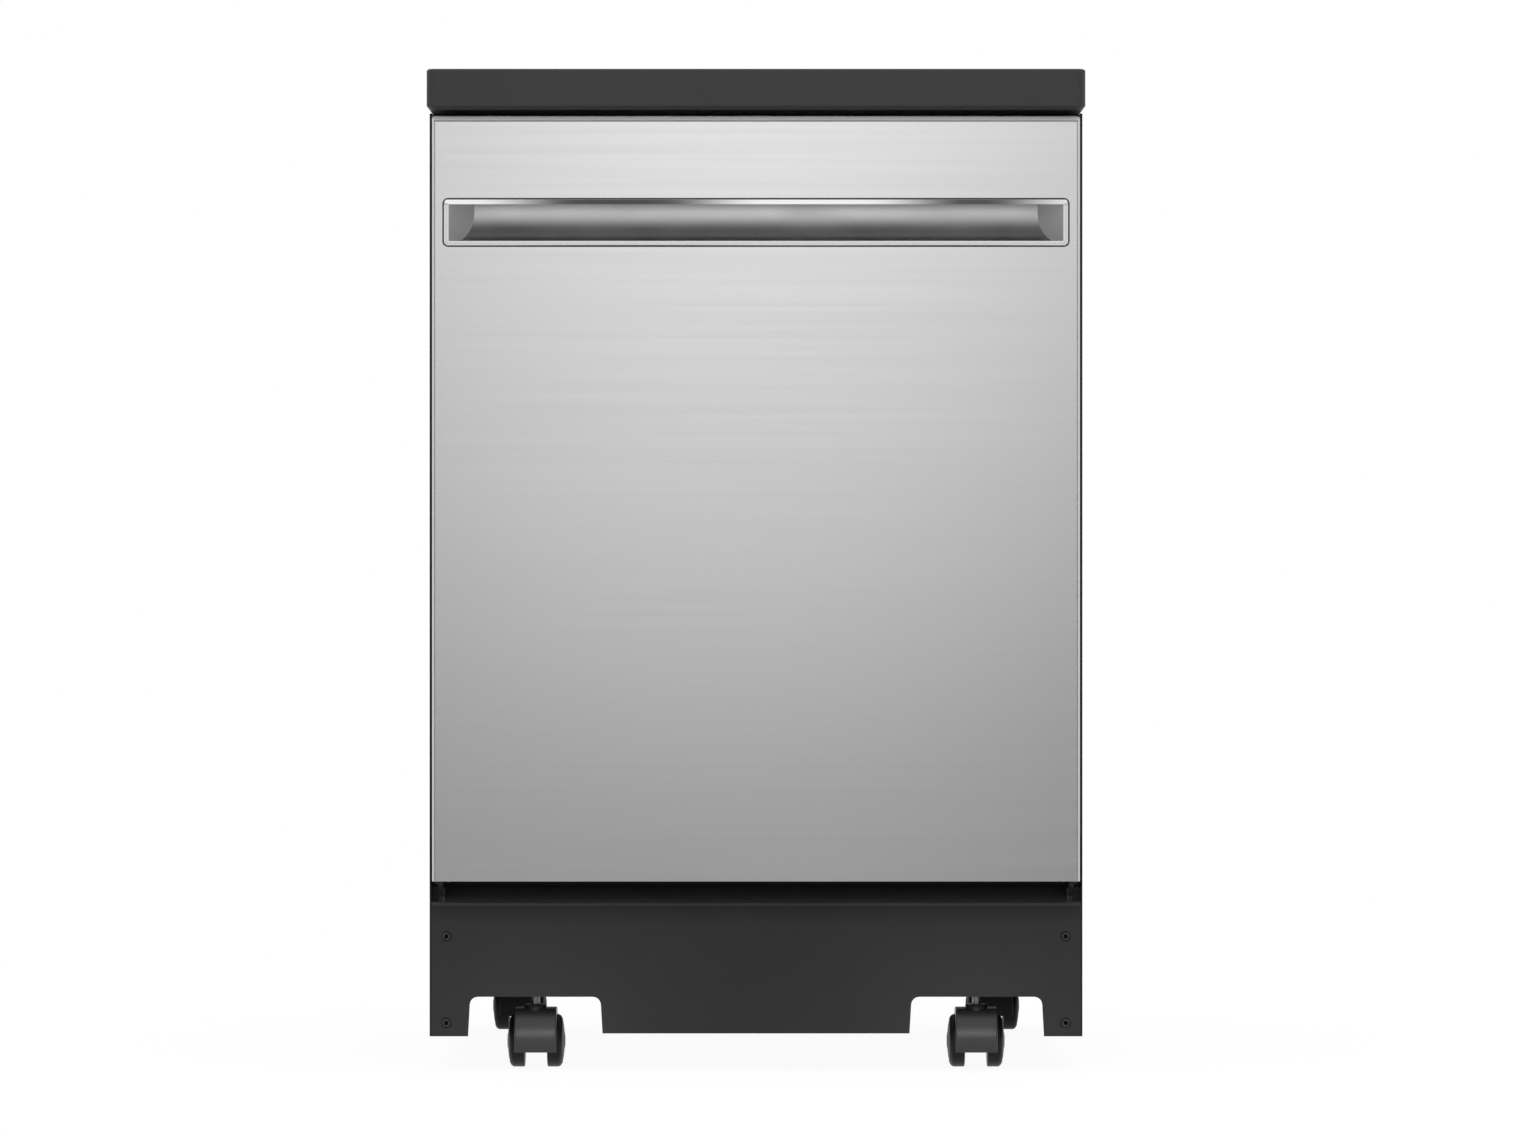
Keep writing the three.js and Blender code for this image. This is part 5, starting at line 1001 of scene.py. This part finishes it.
def make_cutlery_basket():
    """The silverware basket: lattice walls, four cells and an arched handle."""
    low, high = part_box("silverware_basket")
    top = high.z - 0.036
    wall, inset = 0.0024, 0.0012
    x0, x1, y0, y1 = low.x + inset, high.x - inset, low.y + inset, high.y - inset
    rise = top - low.z
    bm = bmesh.new()
    for y in (y0, y1):
        add_lattice(bm, (x0, y, low.z), (1, 0, 0), (0, 0, 1), x1 - x0, rise, wall, 31, 10)
    for x in spread(x0, x1, 5):
        add_lattice(bm, (x, y0, low.z), (0, 1, 0), (0, 0, 1), y1 - y0, rise, wall, 8, 10)
    for y in spread(y0, y1 - 0.002, 8):
        add_box(bm, (x0, y, low.z), (x1, y + 0.002, low.z + 0.0022))
    for x in spread(x0, x1 - 0.002, 31):
        add_box(bm, (x, y0, low.z + 0.0002), (x + 0.002, y1, low.z + 0.0020))
    recalc(bm)
    finish_piece(bm, "cutlery_basket_cells", "lower_rack_body", "dark grey plastic",
                 ["silverware_basket"], 40)
    middle, reach, foot, head = (low.y + high.y) / 2, 0.071, low.z + 0.004, high.z - 0.004
    arch = round_path([(-reach, middle, foot), (-reach, middle, head), (reach, middle, head),
                       (reach, middle, foot)], 0.016, steps=8)
    section = rounded_rectangle(-0.0036, 0.0036, -0.0028, 0.0028, 0.0012, 3)
    rings = []
    for i, point in enumerate(arch):
        tangent = (arch[min(i + 1, len(arch) - 1)] - arch[max(i - 1, 0)]).normalized()
        across = Vector((tangent.z, 0, -tangent.x))
        rings.append([point + across * u + Vector((0, v, 0)) for u, v in section])
    bm = bmesh.new()
    add_rings(bm, rings)
    recalc(bm)
    finish_piece(bm, "cutlery_basket_handle", "lower_rack_body", "dark grey plastic", (), 40)


# ---------------------------------------------------------------------------
# Door
# ---------------------------------------------------------------------------
def make_door(settings):
    dress_nodes(["door_outer_panel"], "door stainless", bevel=0.0005)
    dress_nodes(["door_inner_panel"], "tub stainless", bevel=0.0016)
    dress_nodes(["door_hinge_left", "door_hinge_right"], "side paint", bevel=0.0004)
    dress_nodes(["control_fascia"], "black plastic", bevel=0.0008)
    dress_nodes(["start_button", "cycle_button"], "grey plastic", bevel=0.0006)
    low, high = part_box("control_fascia")
    bm = bmesh.new()
    y = (low.y + high.y) / 2
    for x in spread(-0.120, 0.120, 7):
        add_lathe(bm, [(0, high.z - 0.0006), (0.0021, high.z - 0.0006), (0.0020, high.z + 0.0002),
                       (0.0012, high.z + 0.0006), (0, high.z + 0.0007)], (x, y, 0), steps=20)
    recalc(bm)
    finish_piece(bm, "indicator_lenses", "door", "indicator lens", (), 50)
    bm = bmesh.new()
    low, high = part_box("door_inner_panel")
    for z0, z1 in ((low.z + 0.045, low.z + 0.235), (high.z - 0.260, high.z - 0.045)):
        outline = rounded_rectangle(low.x + 0.050, high.x - 0.050, z0, z1, 0.022, 7)
        add_sweep(bm, [(x, high.y - 0.0011, z) for x, z in outline], 0.0022, closed=True, sides=10)
    finish_piece(bm, "liner_beads", "door", "tub stainless", (), 60)


def scoop_profile(lip, depth, low, high):
    """Section of the pocket from its lower lip round the back to its upper lip, as (y, z) pairs."""
    back, ledge = lip + depth, lip + depth * 0.20
    bend = low + (high - low) * 0.86
    profile = [(lip, low)]
    for a in spread(3.0, 90.0, 22):
        t = math.radians(a)
        profile.append((ledge + (back - ledge) * math.sin(t), bend - (bend - low) * math.cos(t)))
    corner = 0.010
    ceiling = high + 0.0115
    for a in spread(0.0, 90.0, 10):
        t = math.radians(a)
        profile.append((back - corner + corner * math.cos(t), ceiling - corner + corner * math.sin(t)))
    profile += [(lip + 0.005, ceiling), (lip + 0.0032, ceiling - 0.002), (lip + 0.0028, high + 0.0015)]
    return profile + [(lip, high)]


def make_scoop(settings, low_lip, top_lip, mouth_half, lip):
    """The pocket itself: a scooped channel with slanted ends."""
    reach = settings.pocket_depth - 0.0030
    left, right = [], []
    bm = bmesh.new()
    for y, z in scoop_profile(lip, reach, low_lip, top_lip):
        x = mouth_half - settings.end_slope * max(0.0, min(1.0, (y - lip) / reach))
        left.append(bm.verts.new((-x, y, z)))
        right.append(bm.verts.new((x, y, z)))
    for a, b, c, d in zip(left, left[1:], right[1:], right):
        bm.faces.new((a, b, c, d))
    bm.faces.new(left)
    bm.faces.new(list(reversed(right)))
    recalc(bm)
    if sum(f.normal.y for f in bm.faces) > 0:
        bmesh.ops.reverse_faces(bm, faces=bm.faces)
    pocket = finish_piece(bm, "handle_scoop", "door", "pocket satin", ["handle_pocket"], 28)
    for face in pocket.data.polygons:
        face.use_smooth = len(face.vertices) == 4
    shell = pocket.modifiers.new("Sheet", "SOLIDIFY")
    shell.thickness = 0.0010
    shell.offset = -1.0


def rim_section(gap_shade, rim):
    """Section of the rim from its outer wall over the front to its inner wall, as (inset, depth) pairs."""
    middle = (gap_shade + rim) / 2
    return [(gap_shade, RIM_DEPTH), (gap_shade, 0.0007), (gap_shade + 0.0002, 0.0002), (gap_shade + 0.0006, 0.0),
            (middle - 0.0004, 0.0007), (middle, 0.0012), (middle + 0.0002, 0.0010),
            (rim - 0.0004, 0.0018), (rim, 0.0022), (rim, RIM_DEPTH)]


def make_handle(settings):
    """The pocket handle: its scoop, a rim of satin sides under a bright top band, and a black ring painted as
    the shade of the gap round the rim.
    """
    low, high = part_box("handle_pocket")
    front, retainer, opening = low.y, 0.003, 0.0453
    half, bottom, top = high.x - retainer, low.z + retainer, low.z + retainer + opening
    rim, gap_shade = settings.rim_width, settings.gap_shade_width
    joint, lap, corner = top - rim, 0.0003, 0.005
    make_scoop(settings, bottom + rim - lap, joint + lap, half - rim + lap, front + 0.0030)

    def side_path(inset, y):
        radius = max(corner - inset, 0.0006)
        x, z = half - inset - radius, bottom + inset + radius
        path = [Vector((-half + inset, y, joint - lap))]
        for start, centre in ((180, -x), (270, x)):
            for a in spread(start, start + 90, 9):
                t = math.radians(a)
                path.append(Vector((centre + radius * math.cos(t), y, z + radius * math.sin(t))))
        return path + [Vector((half - inset, y, joint - lap))]

    bm = bmesh.new()
    lines = [side_path(inset, front + depth) for inset, depth in rim_section(gap_shade, rim)]
    add_rings(bm, [list(ring) for ring in zip(*lines)])
    recalc(bm)
    finish_piece(bm, "handle_rim_sides", "door", "satin rim", (), 24)

    def band_end(drop):
        away = max(0.0, corner - drop)
        return half - gap_shade - (corner - math.sqrt(max(0.0, corner**2 - away**2)))

    bm = bmesh.new()
    nose = 0.0004
    slope = 0.0024 / (rim - gap_shade - 0.0006)
    rows = [(0.0, 0.0008), (0.0001, 0.0003), (nose, 0.0)]
    rows += [(drop, slope * (drop - nose)) for drop in spread(0.0007, rim - gap_shade, 8)]
    rings = []
    back = front + RIM_DEPTH
    for drop, depth in rows:
        x, y, z = band_end(drop + nose), front + depth, top - gap_shade - drop
        rings.append([Vector(p) for p in ((-x, y, z), (x, y, z), (x, back, z), (-x, back, z))])
    add_rings(bm, rings)
    recalc(bm)
    finish_piece(bm, "handle_rim_top", "door", "bright rim", (), 24)

    def outline(inset, y):
        u, v0, v1 = half - inset, bottom + inset, top - inset
        return [Vector((x, y, z)) for x, z in rounded_rectangle(-u, u, v0, v1, corner - inset, 8)]

    # A black ring in a shallow groove round the rim: its black is painted shade of the gap.
    bm = bmesh.new()
    lip, groove, floor = 0.0002, front + 0.0010, front + 0.0030
    add_rings(bm, [outline(-lip, floor), outline(-lip, groove), outline(gap_shade + lip, groove),
                   outline(gap_shade + lip, floor)], closed=True)
    recalc(bm)
    finish_piece(bm, "handle_gap_shade", "door", "gasket rubber", (), 40)


def make_dispenser():
    """The dispenser: its moulded face, the sliding lid with a thumb grip and the filler cap."""
    dress_nodes(["dispenser_body"], "grey plastic", bevel=0.0010)
    low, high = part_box("dispenser_lid")
    face = high.y - 0.003
    bm = bmesh.new()
    rings = []
    for inset, y in ((0.0, low.y), (0.0, face - 0.0010), (0.0005, face - 0.0003), (0.0014, face)):
        outline = rounded_rectangle(low.x + inset, high.x - inset, low.z + inset, high.z - inset,
                                    0.005 - inset, 6)
        rings.append([Vector((x, y, z)) for x, z in outline])
    add_rings(bm, rings)
    for k in range(5):
        x = low.x + 0.011 + k * 0.0036
        add_lathe(bm, [(0, low.z + 0.020), (0.0013, low.z + 0.0205), (0.0013, high.z - 0.0205),
                       (0, high.z - 0.020)], (x, face, 0), steps=10)
    add_box(bm, (low.x + 0.0068, face - 0.0005, low.z + 0.017),
            (low.x + 0.0082, high.y - 0.0002, high.z - 0.017))
    recalc(bm)
    finish_piece(bm, "detergent_lid_shell", "detergent_lid", "white plastic",
                 ["dispenser_lid"], 40)
    low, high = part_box("rinse_cap")
    x, _, z = midpoint(low, high)
    r = (high.x - low.x) / 2
    face = high.y - 0.004
    bm = bmesh.new()
    rings = []
    for share, y in ((0.68, low.y), (0.68, face - 0.006), (0.98, face - 0.0058), (1.0, face - 0.005),
                     (1.0, face - 0.0012), (0.95, face - 0.0002), (0.90, face)):
        ring = []
        for k, a in enumerate(turns(72)):
            flute = r * share * (1.0 - (0.028 if share > 0.95 and k % 3 == 0 else 0.0))
            ring.append(Vector((x + flute * math.cos(a), y, z + flute * math.sin(a))))
        rings.append(ring)
    add_rings(bm, rings)
    grip = rounded_rectangle(-0.0128, 0.0128, -0.0026, 0.0026, 0.0022, 4)
    rings = [[Vector((x + u * s, y, z + v * s)) for u, v in grip]
             for s, y in ((1.0, face - 0.001), (1.0, high.y - 0.0010), (0.86, high.y - 0.0002))]
    add_rings(bm, rings)
    recalc(bm)
    finish_piece(bm, "rinse_cap_shell", "rinse_aid_cap", "black plastic", ["rinse_cap"], 40)


# ---------------------------------------------------------------------------
# Casters
# ---------------------------------------------------------------------------
def hood_outline(y, axle_y, axle_z, low, top):
    """A hood's side outline, from behind the wheels over them and down its bowed nose, as (y, z) pairs."""
    outline = []
    for a in spread(20.0, 90.0, 18):
        t = math.radians(a)
        outline.append((axle_y + (top - axle_z) * math.cos(t), axle_z + (top - axle_z) * math.sin(t)))
    bow, nose, middle, ease = 0.050, 0.015, 0.034, 0.0018

    def nose_y(z):
        return y - nose + bow - math.sqrt(bow**2 - (z - middle) ** 2)

    corner = (nose_y(top), top)
    start, end = (corner[0] + ease, top), (nose_y(top - ease), top - ease)
    for t in spread(0.0, 1.0, 7):
        outline.append(tuple((1 - t) ** 2 * a + 2 * t * (1 - t) * b + t**2 * c
                             for a, b, c in zip(start, corner, end)))
    return outline + [(nose_y(z), z) for z in spread(top - ease, low, 20)[1:]]


def make_caster_hood(corner):
    """A moulded hood: a shell over both wheels with a bowed nose, its web, collar and axle."""
    node = f"caster_hood_{corner}"
    low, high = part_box(node)
    x, y, _ = midpoint(*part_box(f"caster_stem_{corner}"))
    axle_y, axle_z, well = y + 0.018, WHEEL_RADIUS, 0.0263
    half, web, top = 0.0197, 0.0102, 0.057
    outline = hood_outline(y, axle_y, axle_z, low.z, top)
    side = [(half, 0.0, 0.0), (half, 1.0, -0.0009), (half - 0.0003, 1.0, -0.0003), (half - 0.0009, 1.0, 0.0),
            (half - 0.0014, 1.0, 0.0)]
    across = [(-u, share, ease) for u, share, ease in side] + side[::-1]
    bm = bmesh.new()
    rings = []
    for py, pz in outline:
        reach = math.hypot(py - axle_y, pz - axle_z)
        along = Vector((0, (py - axle_y) / reach, (pz - axle_z) / reach))
        axle = Vector((x, axle_y, axle_z))
        rings.append([axle + Vector((u, 0, 0)) + along * (well + (reach - well) * share + ease)
                      for u, share, ease in across])
    add_rings(bm, rings)
    inward = 0.01
    web_outline = [(py + (axle_y - py) * inward, pz + (axle_z - pz) * inward) for py, pz in outline]
    web_outline[-1] = (web_outline[-1][0], low.z)
    web_outline.append((axle_y + well / 2, low.z))
    add_rings(bm, [[Vector((x + s * web, py, pz)) for py, pz in web_outline] for s in (-1, 1)])
    collar, bore, foot = 0.0105, 0.0044, top - 0.010
    add_lathe(bm, [(bore, foot), (collar, foot), (collar, high.z - 0.0008), (collar - 0.0003, high.z - 0.0003),
                   (collar - 0.0009, high.z - 0.0001), (bore, high.z - 0.0001)], (x, y, 0), steps=48)
    end, pin = high.x - x - web, 0.0040
    for s in (-1, 1):
        add_lathe(bm, [(0.0, 0.0), (pin, 0.0), (pin, end - 0.0008), (pin - 0.0006, end), (0.0, end)],
                  (x + s * web, axle_y, axle_z), axis="x", steps=24, sign=s)
    recalc(bm)
    # Rear hoods get the darker copy of the plastic as painted shade.
    plastic = "caster hood" if corner.startswith("front") else "caster in painted shade"
    finish_piece(bm, f"hood_shell_{corner}", f"caster_{corner}", plastic, [node], 35)


def make_caster_wheel(corner, where, steps):
    """One wheel: a rounded tread and shoulder, and a domed cover with a groove and a hub button."""
    node = f"caster_wheel_{corner}_{where}"
    low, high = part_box(node)
    sign = 1 if (where == "inner") == corner.endswith("left") else -1
    face = low.x if sign > 0 else high.x
    width, r, bore = high.x - low.x, WHEEL_RADIUS, 0.0044
    profile = [(bore, 0.0), (0.020, 0.0), (r - 0.0012, 0.0), (r - 0.0003, 0.0004), (r, 0.0013),
               (r, width * 0.60)]
    for a in spread(8.0, 62.0, 7):
        t = math.radians(a)
        profile.append((r - 0.0065 * (1 - math.cos(t)), width * (0.58 + 0.30 * math.sin(t))))
    cover = ((0.84, 0.862), (0.825, 0.835), (0.80, 0.835), (0.785, 0.868), (0.62, 0.918), (0.45, 0.952),
             (0.32, 0.968), (0.31, 0.94), (0.29, 0.94), (0.28, 0.985), (0.24, 0.998))
    profile += [(r * out, width * share) for out, share in cover] + [(bore, width)]
    bm = bmesh.new()
    add_lathe(bm, profile, (face, (low.y + high.y) / 2, r), axis="x", steps=steps, sign=sign)
    recalc(bm)
    # Rear wheels get the darker copy of the plastic as painted shade.
    plastic = "caster wheel" if corner.startswith("front") else "caster in painted shade"
    finish_piece(bm, f"wheel_shell_{corner}_{where}", f"wheel_{corner}_{where}", plastic,
                 [node], 30)


def make_casters(settings):
    for corner in CORNERS:
        make_caster_hood(corner)
        for where in ("inner", "outer"):
            make_caster_wheel(corner, where, settings.wheel_steps)


# ---------------------------------------------------------------------------
# Stage
# ---------------------------------------------------------------------------
def make_world():
    """A white surround: at full strength to the eye and in reflections, softer as light on the object."""
    world = bpy.data.worlds.new("Studio surround")
    bpy.context.scene.world = world
    world.use_nodes = True
    tree = world.node_tree
    tree.nodes.clear()
    level = ranged(tree, seen_directly(tree), (0.55, 1.0))
    background = add_node(tree, "ShaderNodeBackground", Color=(1, 1, 1, 1), Strength=level)
    out = add_node(tree, "ShaderNodeOutputWorld")
    tree.links.new(background.outputs[0], out.inputs["Surface"])


def seen_directly(tree):
    """1 for rays from the eye, a mirror or glass, and 0 for light."""
    path = add_node(tree, "ShaderNodeLightPath")
    seen = combine(tree, "MAXIMUM", path.outputs["Is Camera Ray"], path.outputs["Is Glossy Ray"])
    return combine(tree, "MAXIMUM", seen, path.outputs["Is Transmission Ray"])


def make_floor(settings):
    """A pale floor that keeps the object's shadow and fades into the white surround."""
    material, tree, shader = start_material("Pale floor")
    shader.inputs["Base Color"].default_value = (0.86, 0.86, 0.86, 1)
    shader.inputs["Roughness"].default_value = 0.9
    shader.inputs["Specular IOR Level"].default_value = 0.1
    where = add_node(tree, "ShaderNodeTexCoord")
    reach = add_node(tree, "ShaderNodeVectorMath", {"operation": "LENGTH"}, i0=where.outputs["Object"])
    near = ranged(tree, reach.outputs["Value"], (0.94, 1.0), source=(0.45, 1.6))
    share = combine(tree, "MULTIPLY", seen_directly(tree), near)
    glow = add_node(tree, "ShaderNodeEmission", Color=(1, 1, 1, 1), Strength=1.0)
    mix = add_node(tree, "ShaderNodeMixShader", i0=share, i1=shader.outputs[0], i2=glow.outputs[0])
    out = next(n for n in tree.nodes if n.type == "OUTPUT_MATERIAL")
    tree.links.new(mix.outputs[0], out.inputs["Surface"])
    bm = bmesh.new()
    bmesh.ops.create_circle(bm, cap_ends=True, segments=96, radius=settings.floor_reach)
    mesh = bpy.data.meshes.new("floor")
    bm.to_mesh(mesh)
    bm.free()
    floor = link("floor", mesh)
    mesh.materials.append(material)


def make_card(name, low, high, shade):
    """A studio card that only reflections see, glowing by a level or as shade(tree, place) says."""
    material = bpy.data.materials.new(name)
    material.use_nodes = True
    tree = material.node_tree
    tree.nodes.clear()
    level = shade(tree, object_place(tree)) if callable(shade) else shade
    glow = add_node(tree, "ShaderNodeEmission", Color=(1, 1, 1, 1), Strength=level)
    out = add_node(tree, "ShaderNodeOutputMaterial")
    tree.links.new(glow.outputs[0], out.inputs["Surface"])
    low, high = Vector(low), Vector(high)
    flat = low.y == high.y
    third = Vector((high.x, low.y, low.z)) if flat else Vector((high.x, low.y, high.z))
    fourth = Vector((low.x, high.y, high.z)) if flat else Vector((low.x, high.y, low.z))
    mesh = bpy.data.meshes.new(name)
    mesh.from_pydata([low, third, high, fourth], [], [(0, 1, 2, 3)])
    card = link(name, mesh)
    mesh.materials.append(material)
    card.visible_camera = False
    card.visible_diffuse = False
    card.visible_shadow = False
    card.visible_transmission = False


def front_card_shade(tree, place):
    """Brightest above the door's top and falling off downwards and to both sides."""
    height = ranged(tree, place["Z"], (0.0, 1.0), source=(0.0, CARD_HEIGHT))
    rise = grey_ramp(tree, height, ((0.0, 0.16), (0.19, 0.62), (0.40, 0.95), (0.62, 1.0), (1.0, 0.8)))
    lean = ranged(tree, place["Z"], (0.06, 0.0), source=(0.5, 1.0))
    side = combine(tree, "ABSOLUTE", combine(tree, "ADD", place["X"], lean), 0.0)
    fall = ranged(tree, side, (1.95, 0.22), source=(0.0, 1.10), smooth=True)
    return combine(tree, "MULTIPLY", rise, fall)


def banded_shade(bands, dark, bright, fade):
    """A bright card with soft-edged dark bands, each given by its middle and half width along X."""
    def shade(tree, place):
        level = bright
        for middle, half in bands:
            away = combine(tree, "ABSOLUTE", combine(tree, "SUBTRACT", place["X"], middle), 0.0)
            edge = ranged(tree, away, (dark, bright), source=(half - fade, half + fade), smooth=True)
            level = combine(tree, "MINIMUM", level, edge)
        return level
    return shade


def make_lamp(name, place, aim, size, watts):
    """A soft lamp that lights the object; the cards and the surround are what metal mirrors."""
    data = bpy.data.lights.new(name, "AREA")
    data.shape = "RECTANGLE"
    data.size, data.size_y = size
    data.energy = watts
    lamp = bpy.data.objects.new(name, data)
    bpy.context.scene.collection.objects.link(lamp)
    lamp.visible_glossy = False
    lamp.location = place
    lamp.rotation_mode = "QUATERNION"
    lamp.rotation_quaternion = (Vector(aim) - Vector(place)).to_track_quat("-Z", "Y")


def make_stage(settings):
    """The surround, floor, cards, lamps and camera."""
    make_world()
    make_floor(settings)
    side, far, low = 1.6, -2.3, 0.004
    banded_far, banded_near, near = -1.08, -0.76, -0.34
    bands = banded_shade(((-0.150, 0.105), (0.237, 0.068)), dark=0.08, bright=1.0, fade=0.055)
    make_card("front_card", (-side, far, 0.0), (side, far, CARD_HEIGHT), front_card_shade)
    make_card("floor_card_far", (-side, far, low), (side, banded_far, low), 0.16)
    make_card("floor_card_banded", (-side, banded_far, low), (side, banded_near, low), bands)
    for name, x in (("low_card_left", -0.209), ("low_card_right", 0.209)):
        make_card(name, (x - 0.06, -0.50, low), (x + 0.06, -0.50, 0.032), 11.0)
    make_card("floor_card_near", (-side, banded_near, low), (side, near, low), 0.16)
    make_lamp("Front fill", (0.5, -4.2, 2.2), (0, 0, 0.45), (2.6, 2.0), 70.0)
    make_lamp("Top softbox", (0.0, -0.4, 3.2), (0, 0, 0.4), (2.6, 2.6), 60.0)
    make_lamp("Left wash", (-3.2, -1.4, 1.8), (0, 0, 0.45), (1.6, 2.2), 40.0)
    make_lamp("Right wash", (3.2, -1.2, 1.8), (0, 0, 0.45), (1.6, 2.2), 32.0)
    make_lamp("Rear wash", (0.4, 3.6, 2.0), (0, 0, 0.45), (2.2, 2.0), 40.0)
    data = bpy.data.cameras.new("Camera")
    data.lens = settings.lens
    data.sensor_width = 36.0
    data.sensor_fit = "HORIZONTAL"
    camera = bpy.data.objects.new("Camera", data)
    bpy.context.scene.collection.objects.link(camera)
    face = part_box("door_outer_panel")[0].y
    camera.location = (settings.camera_side, face - settings.camera_distance, settings.camera_height)
    camera.rotation_euler = (math.radians(90), 0, 0)
    bpy.context.scene.camera = camera
    bpy.context.scene.view_settings.view_transform = "Standard"


# ---------------------------------------------------------------------------
# Operators
# ---------------------------------------------------------------------------
class DISHWASHER_OT_cabinet(bpy.types.Operator):
    """Finish the worktop, panels, toe kick, frame and screws"""

    bl_idname = "dishwasher.cabinet"
    bl_label = "Cabinet"

    def execute(self, context):
        make_cabinet(context.scene.dishwasher_cabinet)
        return {"FINISHED"}


class DISHWASHER_OT_tub(bpy.types.Operator):
    """Finish the tub, its seal, heater, float, filter and pumps"""

    bl_idname = "dishwasher.tub"
    bl_label = "Tub"

    def execute(self, context):
        make_tub()
        return {"FINISHED"}


class DISHWASHER_OT_spray_arms(bpy.types.Operator):
    """Build both spray arms"""

    bl_idname = "dishwasher.spray_arms"
    bl_label = "Spray Arms"

    def execute(self, context):
        make_spray_arms()
        return {"FINISHED"}


class DISHWASHER_OT_racks(bpy.types.Operator):
    """Build both wire racks and the silverware basket"""

    bl_idname = "dishwasher.racks"
    bl_label = "Racks"

    def execute(self, context):
        make_lower_rack(context.scene.dishwasher_racks)
        make_upper_rack(context.scene.dishwasher_racks)
        make_cutlery_basket()
        return {"FINISHED"}


class DISHWASHER_OT_door(bpy.types.Operator):
    """Finish the door and build its pocket handle and dispenser"""

    bl_idname = "dishwasher.door"
    bl_label = "Door"

    def execute(self, context):
        settings = context.scene.dishwasher_door
        make_door(settings)
        make_handle(settings)
        make_dispenser()
        return {"FINISHED"}


class DISHWASHER_OT_casters(bpy.types.Operator):
    """Build the hoods and wheels of the four casters"""

    bl_idname = "dishwasher.casters"
    bl_label = "Casters"

    def execute(self, context):
        make_casters(context.scene.dishwasher_casters)
        return {"FINISHED"}


class DISHWASHER_OT_stage(bpy.types.Operator):
    """Set up the floor, light and camera"""

    bl_idname = "dishwasher.stage"
    bl_label = "Stage"

    def execute(self, context):
        make_stage(context.scene.dishwasher_stage)
        return {"FINISHED"}


class DISHWASHER_PT_sidebar(bpy.types.Panel):
    bl_label = "Dishwasher"
    bl_idname = "DISHWASHER_PT_sidebar"
    bl_space_type = "VIEW_3D"
    bl_region_type = "UI"
    bl_category = "Dishwasher"

    def draw(self, context):
        for label, settings, operator in STEPS:
            column = self.layout.box().column()
            column.label(text=label)
            if settings:
                group = getattr(context.scene, settings)
                for name in group.__annotations__:
                    column.prop(group, name)
            column.operator(operator)


STEPS = (
    ("Cabinet", "dishwasher_cabinet", "dishwasher.cabinet"),
    ("Tub", None, "dishwasher.tub"),
    ("Spray arms", None, "dishwasher.spray_arms"),
    ("Racks", "dishwasher_racks", "dishwasher.racks"),
    ("Door", "dishwasher_door", "dishwasher.door"),
    ("Casters", "dishwasher_casters", "dishwasher.casters"),
    ("Stage", "dishwasher_stage", "dishwasher.stage"),
)
SETTINGS = {
    "dishwasher_cabinet": DishwasherCabinetSettings,
    "dishwasher_door": DishwasherDoorSettings,
    "dishwasher_racks": DishwasherRackSettings,
    "dishwasher_casters": DishwasherCasterSettings,
    "dishwasher_stage": DishwasherStageSettings,
}
CLASSES = (
    *SETTINGS.values(),
    DISHWASHER_OT_cabinet,
    DISHWASHER_OT_tub,
    DISHWASHER_OT_spray_arms,
    DISHWASHER_OT_racks,
    DISHWASHER_OT_door,
    DISHWASHER_OT_casters,
    DISHWASHER_OT_stage,
    DISHWASHER_PT_sidebar,
)


def register():
    for cls in CLASSES:
        bpy.utils.register_class(cls)
    for name, cls in SETTINGS.items():
        setattr(bpy.types.Scene, name, PointerProperty(type=cls))


def unregister():
    for name in SETTINGS:
        delattr(bpy.types.Scene, name)
    for cls in reversed(CLASSES):
        bpy.utils.unregister_class(cls)


def main():
    register()
    bpy.ops.dishwasher.cabinet()
    bpy.ops.dishwasher.tub()
    bpy.ops.dishwasher.spray_arms()
    bpy.ops.dishwasher.racks()
    bpy.ops.dishwasher.door()
    bpy.ops.dishwasher.casters()
    bpy.ops.dishwasher.stage()
    bpy.context.view_layer.update()


if __name__ == "__main__":
    main()
